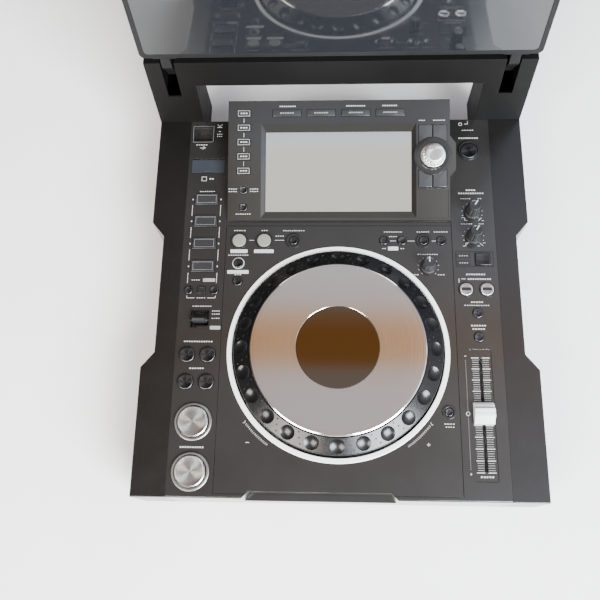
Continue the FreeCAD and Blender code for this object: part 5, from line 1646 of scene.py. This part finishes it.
right_print = new_print("right_print")
for i in range(0, scale_steps + 1, 5):
    y = slot_spot.y + (i - scale_steps / 2) * scale_pitch
    for side_sign in (-1, 1):
        mark(slot_spot.x + side_sign * 5.3 * mm, y, 7.4 * mm, 0.75 * mm, z=slot_spot.z)
word(slot_spot.x + 0.4 * mm, slot_spot.y - 58.8 * mm, 13.0 * mm, 2.0 * mm, z=slot_spot.z)
scale_end = 56.5 * mm
mark(slot_spot.x - 14.6 * mm, slot_spot.y + scale_end, 2.0 * mm, 0.5 * mm, z=deck_top)
mark(slot_spot.x - 14.6 * mm, slot_spot.y - scale_end, 2.2 * mm, 0.5 * mm, z=deck_top)
mark(slot_spot.x - 14.6 * mm, slot_spot.y - scale_end, 0.5 * mm, 2.2 * mm, z=deck_top)
caption("eject_key", 0.3, 15.7, 21.4, 2.0)
caption("eject_key", 0.1, 25.3, 13.1)
line_by("eject_key", -1.2, 33.0, 3.6)
line_by("eject_key", 0.6, 35.0, 0.5, 4.0)
for node in ("touch_speed_knob", "release_speed_knob"):
    ticks_around(node, 10.6, 11, -48, 228)
caption("touch_speed_knob", -0.3, 21.5, 26.9, 1.9)
caption("touch_speed_knob", -0.4, 25.2, 10.5, 1.9)
caption("touch_speed_knob", -6.3, 15.4, 11.0)
caption("touch_speed_knob", 8.4, 15.4, 4.6)
caption("release_speed_knob", -6.3, 14.5, 12.5)
caption("release_speed_knob", 8.6, 14.5, 6.0)
for node, rise, foot in (("touch_speed_knob", -1, -8.0), ("release_speed_knob", 1, -8.4)):
    line_by(node, -9.6, foot - rise * 1.7, 2.8)
    line_by(node, -8.2, foot, 0.45, 3.8)
    line_by(node, -6.8, foot + rise * 1.7, 2.8)
    line_by(node, 4.9, foot - rise * 1.7, 2.4)
    line_by(node, 7.7, foot, 4.8, 0.45, math.radians(rise * 44))
    line_by(node, 10.5, foot + rise * 1.7, 2.4)
sync_x = (middle("sync_key").x + middle("master_key").x) / 2
sync_y = middle("sync_key").y
word(sync_x, sync_y + 16.2 * mm, 19.8 * mm, 1.9 * mm, z=deck_top)
word(sync_x + 3.4 * mm, sync_y + 11.2 * mm, 24.0 * mm, 1.9 * mm, z=deck_top)
mark(sync_x - 12.6 * mm, sync_y + 11.4 * mm, 4.4 * mm, 0.6 * mm, z=deck_top)
mark(sync_x - 17.0 * mm, sync_y + 9.6 * mm, 0.7 * mm, 4.2 * mm, z=deck_top)
caption("tempo_range_key", -0.2, 11.3, 12.8, 1.7)
caption("tempo_range_key", -0.6, 7.9, 25.4, 1.1)
caption("master_tempo_key", 0.0, 11.7, 15.4, 1.7)
caption("master_tempo_key", 0.0, 8.2, 12.9, 1.7)
done(right_print)
dress(right_print, ink_finish, "chassis", slot="deck_plastic")
ring_place = Vector((middle("eject_key").x - 7.4 * mm, middle("eject_key").y + 32.8 * mm, deck_top))
small_ring = [(1.4 * mm, 0.0), (2.0 * mm, 0.0), (2.0 * mm, ink_height), (1.4 * mm, ink_height), (1.4 * mm, 0.0)]
standby_ring = lathe("standby_ring", small_ring, ring_place, 32)
dress(standby_ring, ink_finish, "chassis", slot="deck_plastic")
zero_place = Vector((slot_spot.x - 14.6 * mm, slot_spot.y, deck_top))
zero_ring = lathe("zero_ring", small_ring, zero_place, 32)
dress(zero_ring, ink_finish, "chassis", slot="deck_plastic")
print("right strip marked, scale with", scale_steps, "steps")

# %% [markdown]
# The jog-mode key and its two windows sit on one shallow raised plate with rounded corners. It is
# made as a flat frame, a plane with its middle cut out and given a thickness, with the key standing
# through it.

# %% The jog-mode plate, and marks on the display housing
mode_plate_spot = Vector((mode_spot.x - 8.0 * mm, mode_spot.y + 0.3 * mm, deck_top))
mode_plate = open_frame("mode_plate", mode_plate_spot, 38.2 * mm, 16.8 * mm, 0.6 * mm, 0.45 * mm)
clear_selection()
mode_plate.select_set(True)
bpy.context.view_layer.objects.active = mode_plate
dress(mode_plate, gloss_finish, "chassis", slot="deck_plastic")
for dy in (3.7, -4.0):
    spot = Vector((mode_spot.x - 19.3 * mm, mode_spot.y + dy * mm, deck_top))
    window_box = open_frame("mode_window", spot, 13.4 * mm, 4.6 * mm, 0.3 * mm, 0.4 * mm)
    dress(window_box, gloss_finish, "chassis", slot="deck_plastic")

slope_print = new_print("slope_print")
for i in range(menu_count - 1):
    spot = on_slope(menu_x, (menu_row[i] + menu_row[i + 1]) / 2)
    mark(spot.x, spot.y, 0.4 * mm, 4.6 * mm)
for x, width in ((browse_x[0] + 0.6, 18.0), (browse_x[2], 20.5), (browse_x[3] - 0.6, 16.0)):
    word(x * mm, (browse_v + 7.3) * mm, width * mm, 1.5 * mm)
for side_sign, width in ((-1, 9.6), (1, 9.6)):
    for dv in (1.1, -1.5):
        word((menu_x + side_sign * 11.2) * mm, (32.4 + dv) * mm, width * mm, 1.1 * mm)
word(menu_x * mm, 6.9 * mm, 16.5 * mm, 1.1 * mm)
word((selector_x - 11.0) * mm, (selector_v + 37.6) * mm, 7.0 * mm, 1.1 * mm)
word((selector_x + 6.6) * mm, (selector_v + 37.6) * mm, 13.0 * mm, 1.1 * mm)
done(slope_print)
lay_on_slope(slope_print)
dress(slope_print, ink_finish, "chassis", slot="deck_plastic")

key_print = new_print("menu_key_print")
for v in menu_row:
    word(menu_x * mm, v * mm, 8.2 * mm, 1.5 * mm, z=key_top)
done(key_print)
lay_on_slope(key_print)
dress(key_print, ink_finish, "menu_keys", slot="key_black")
browse_print = new_print("browse_key_print")
for x in browse_x:
    word(x * mm, browse_v * mm, 15.0 * mm, 1.6 * mm, z=key_top)
done(browse_print)
lay_on_slope(browse_print)
dress(browse_print, grey_ink_and_painted_highlight, "browse_keys", slot="key_black")
print("housing marked")
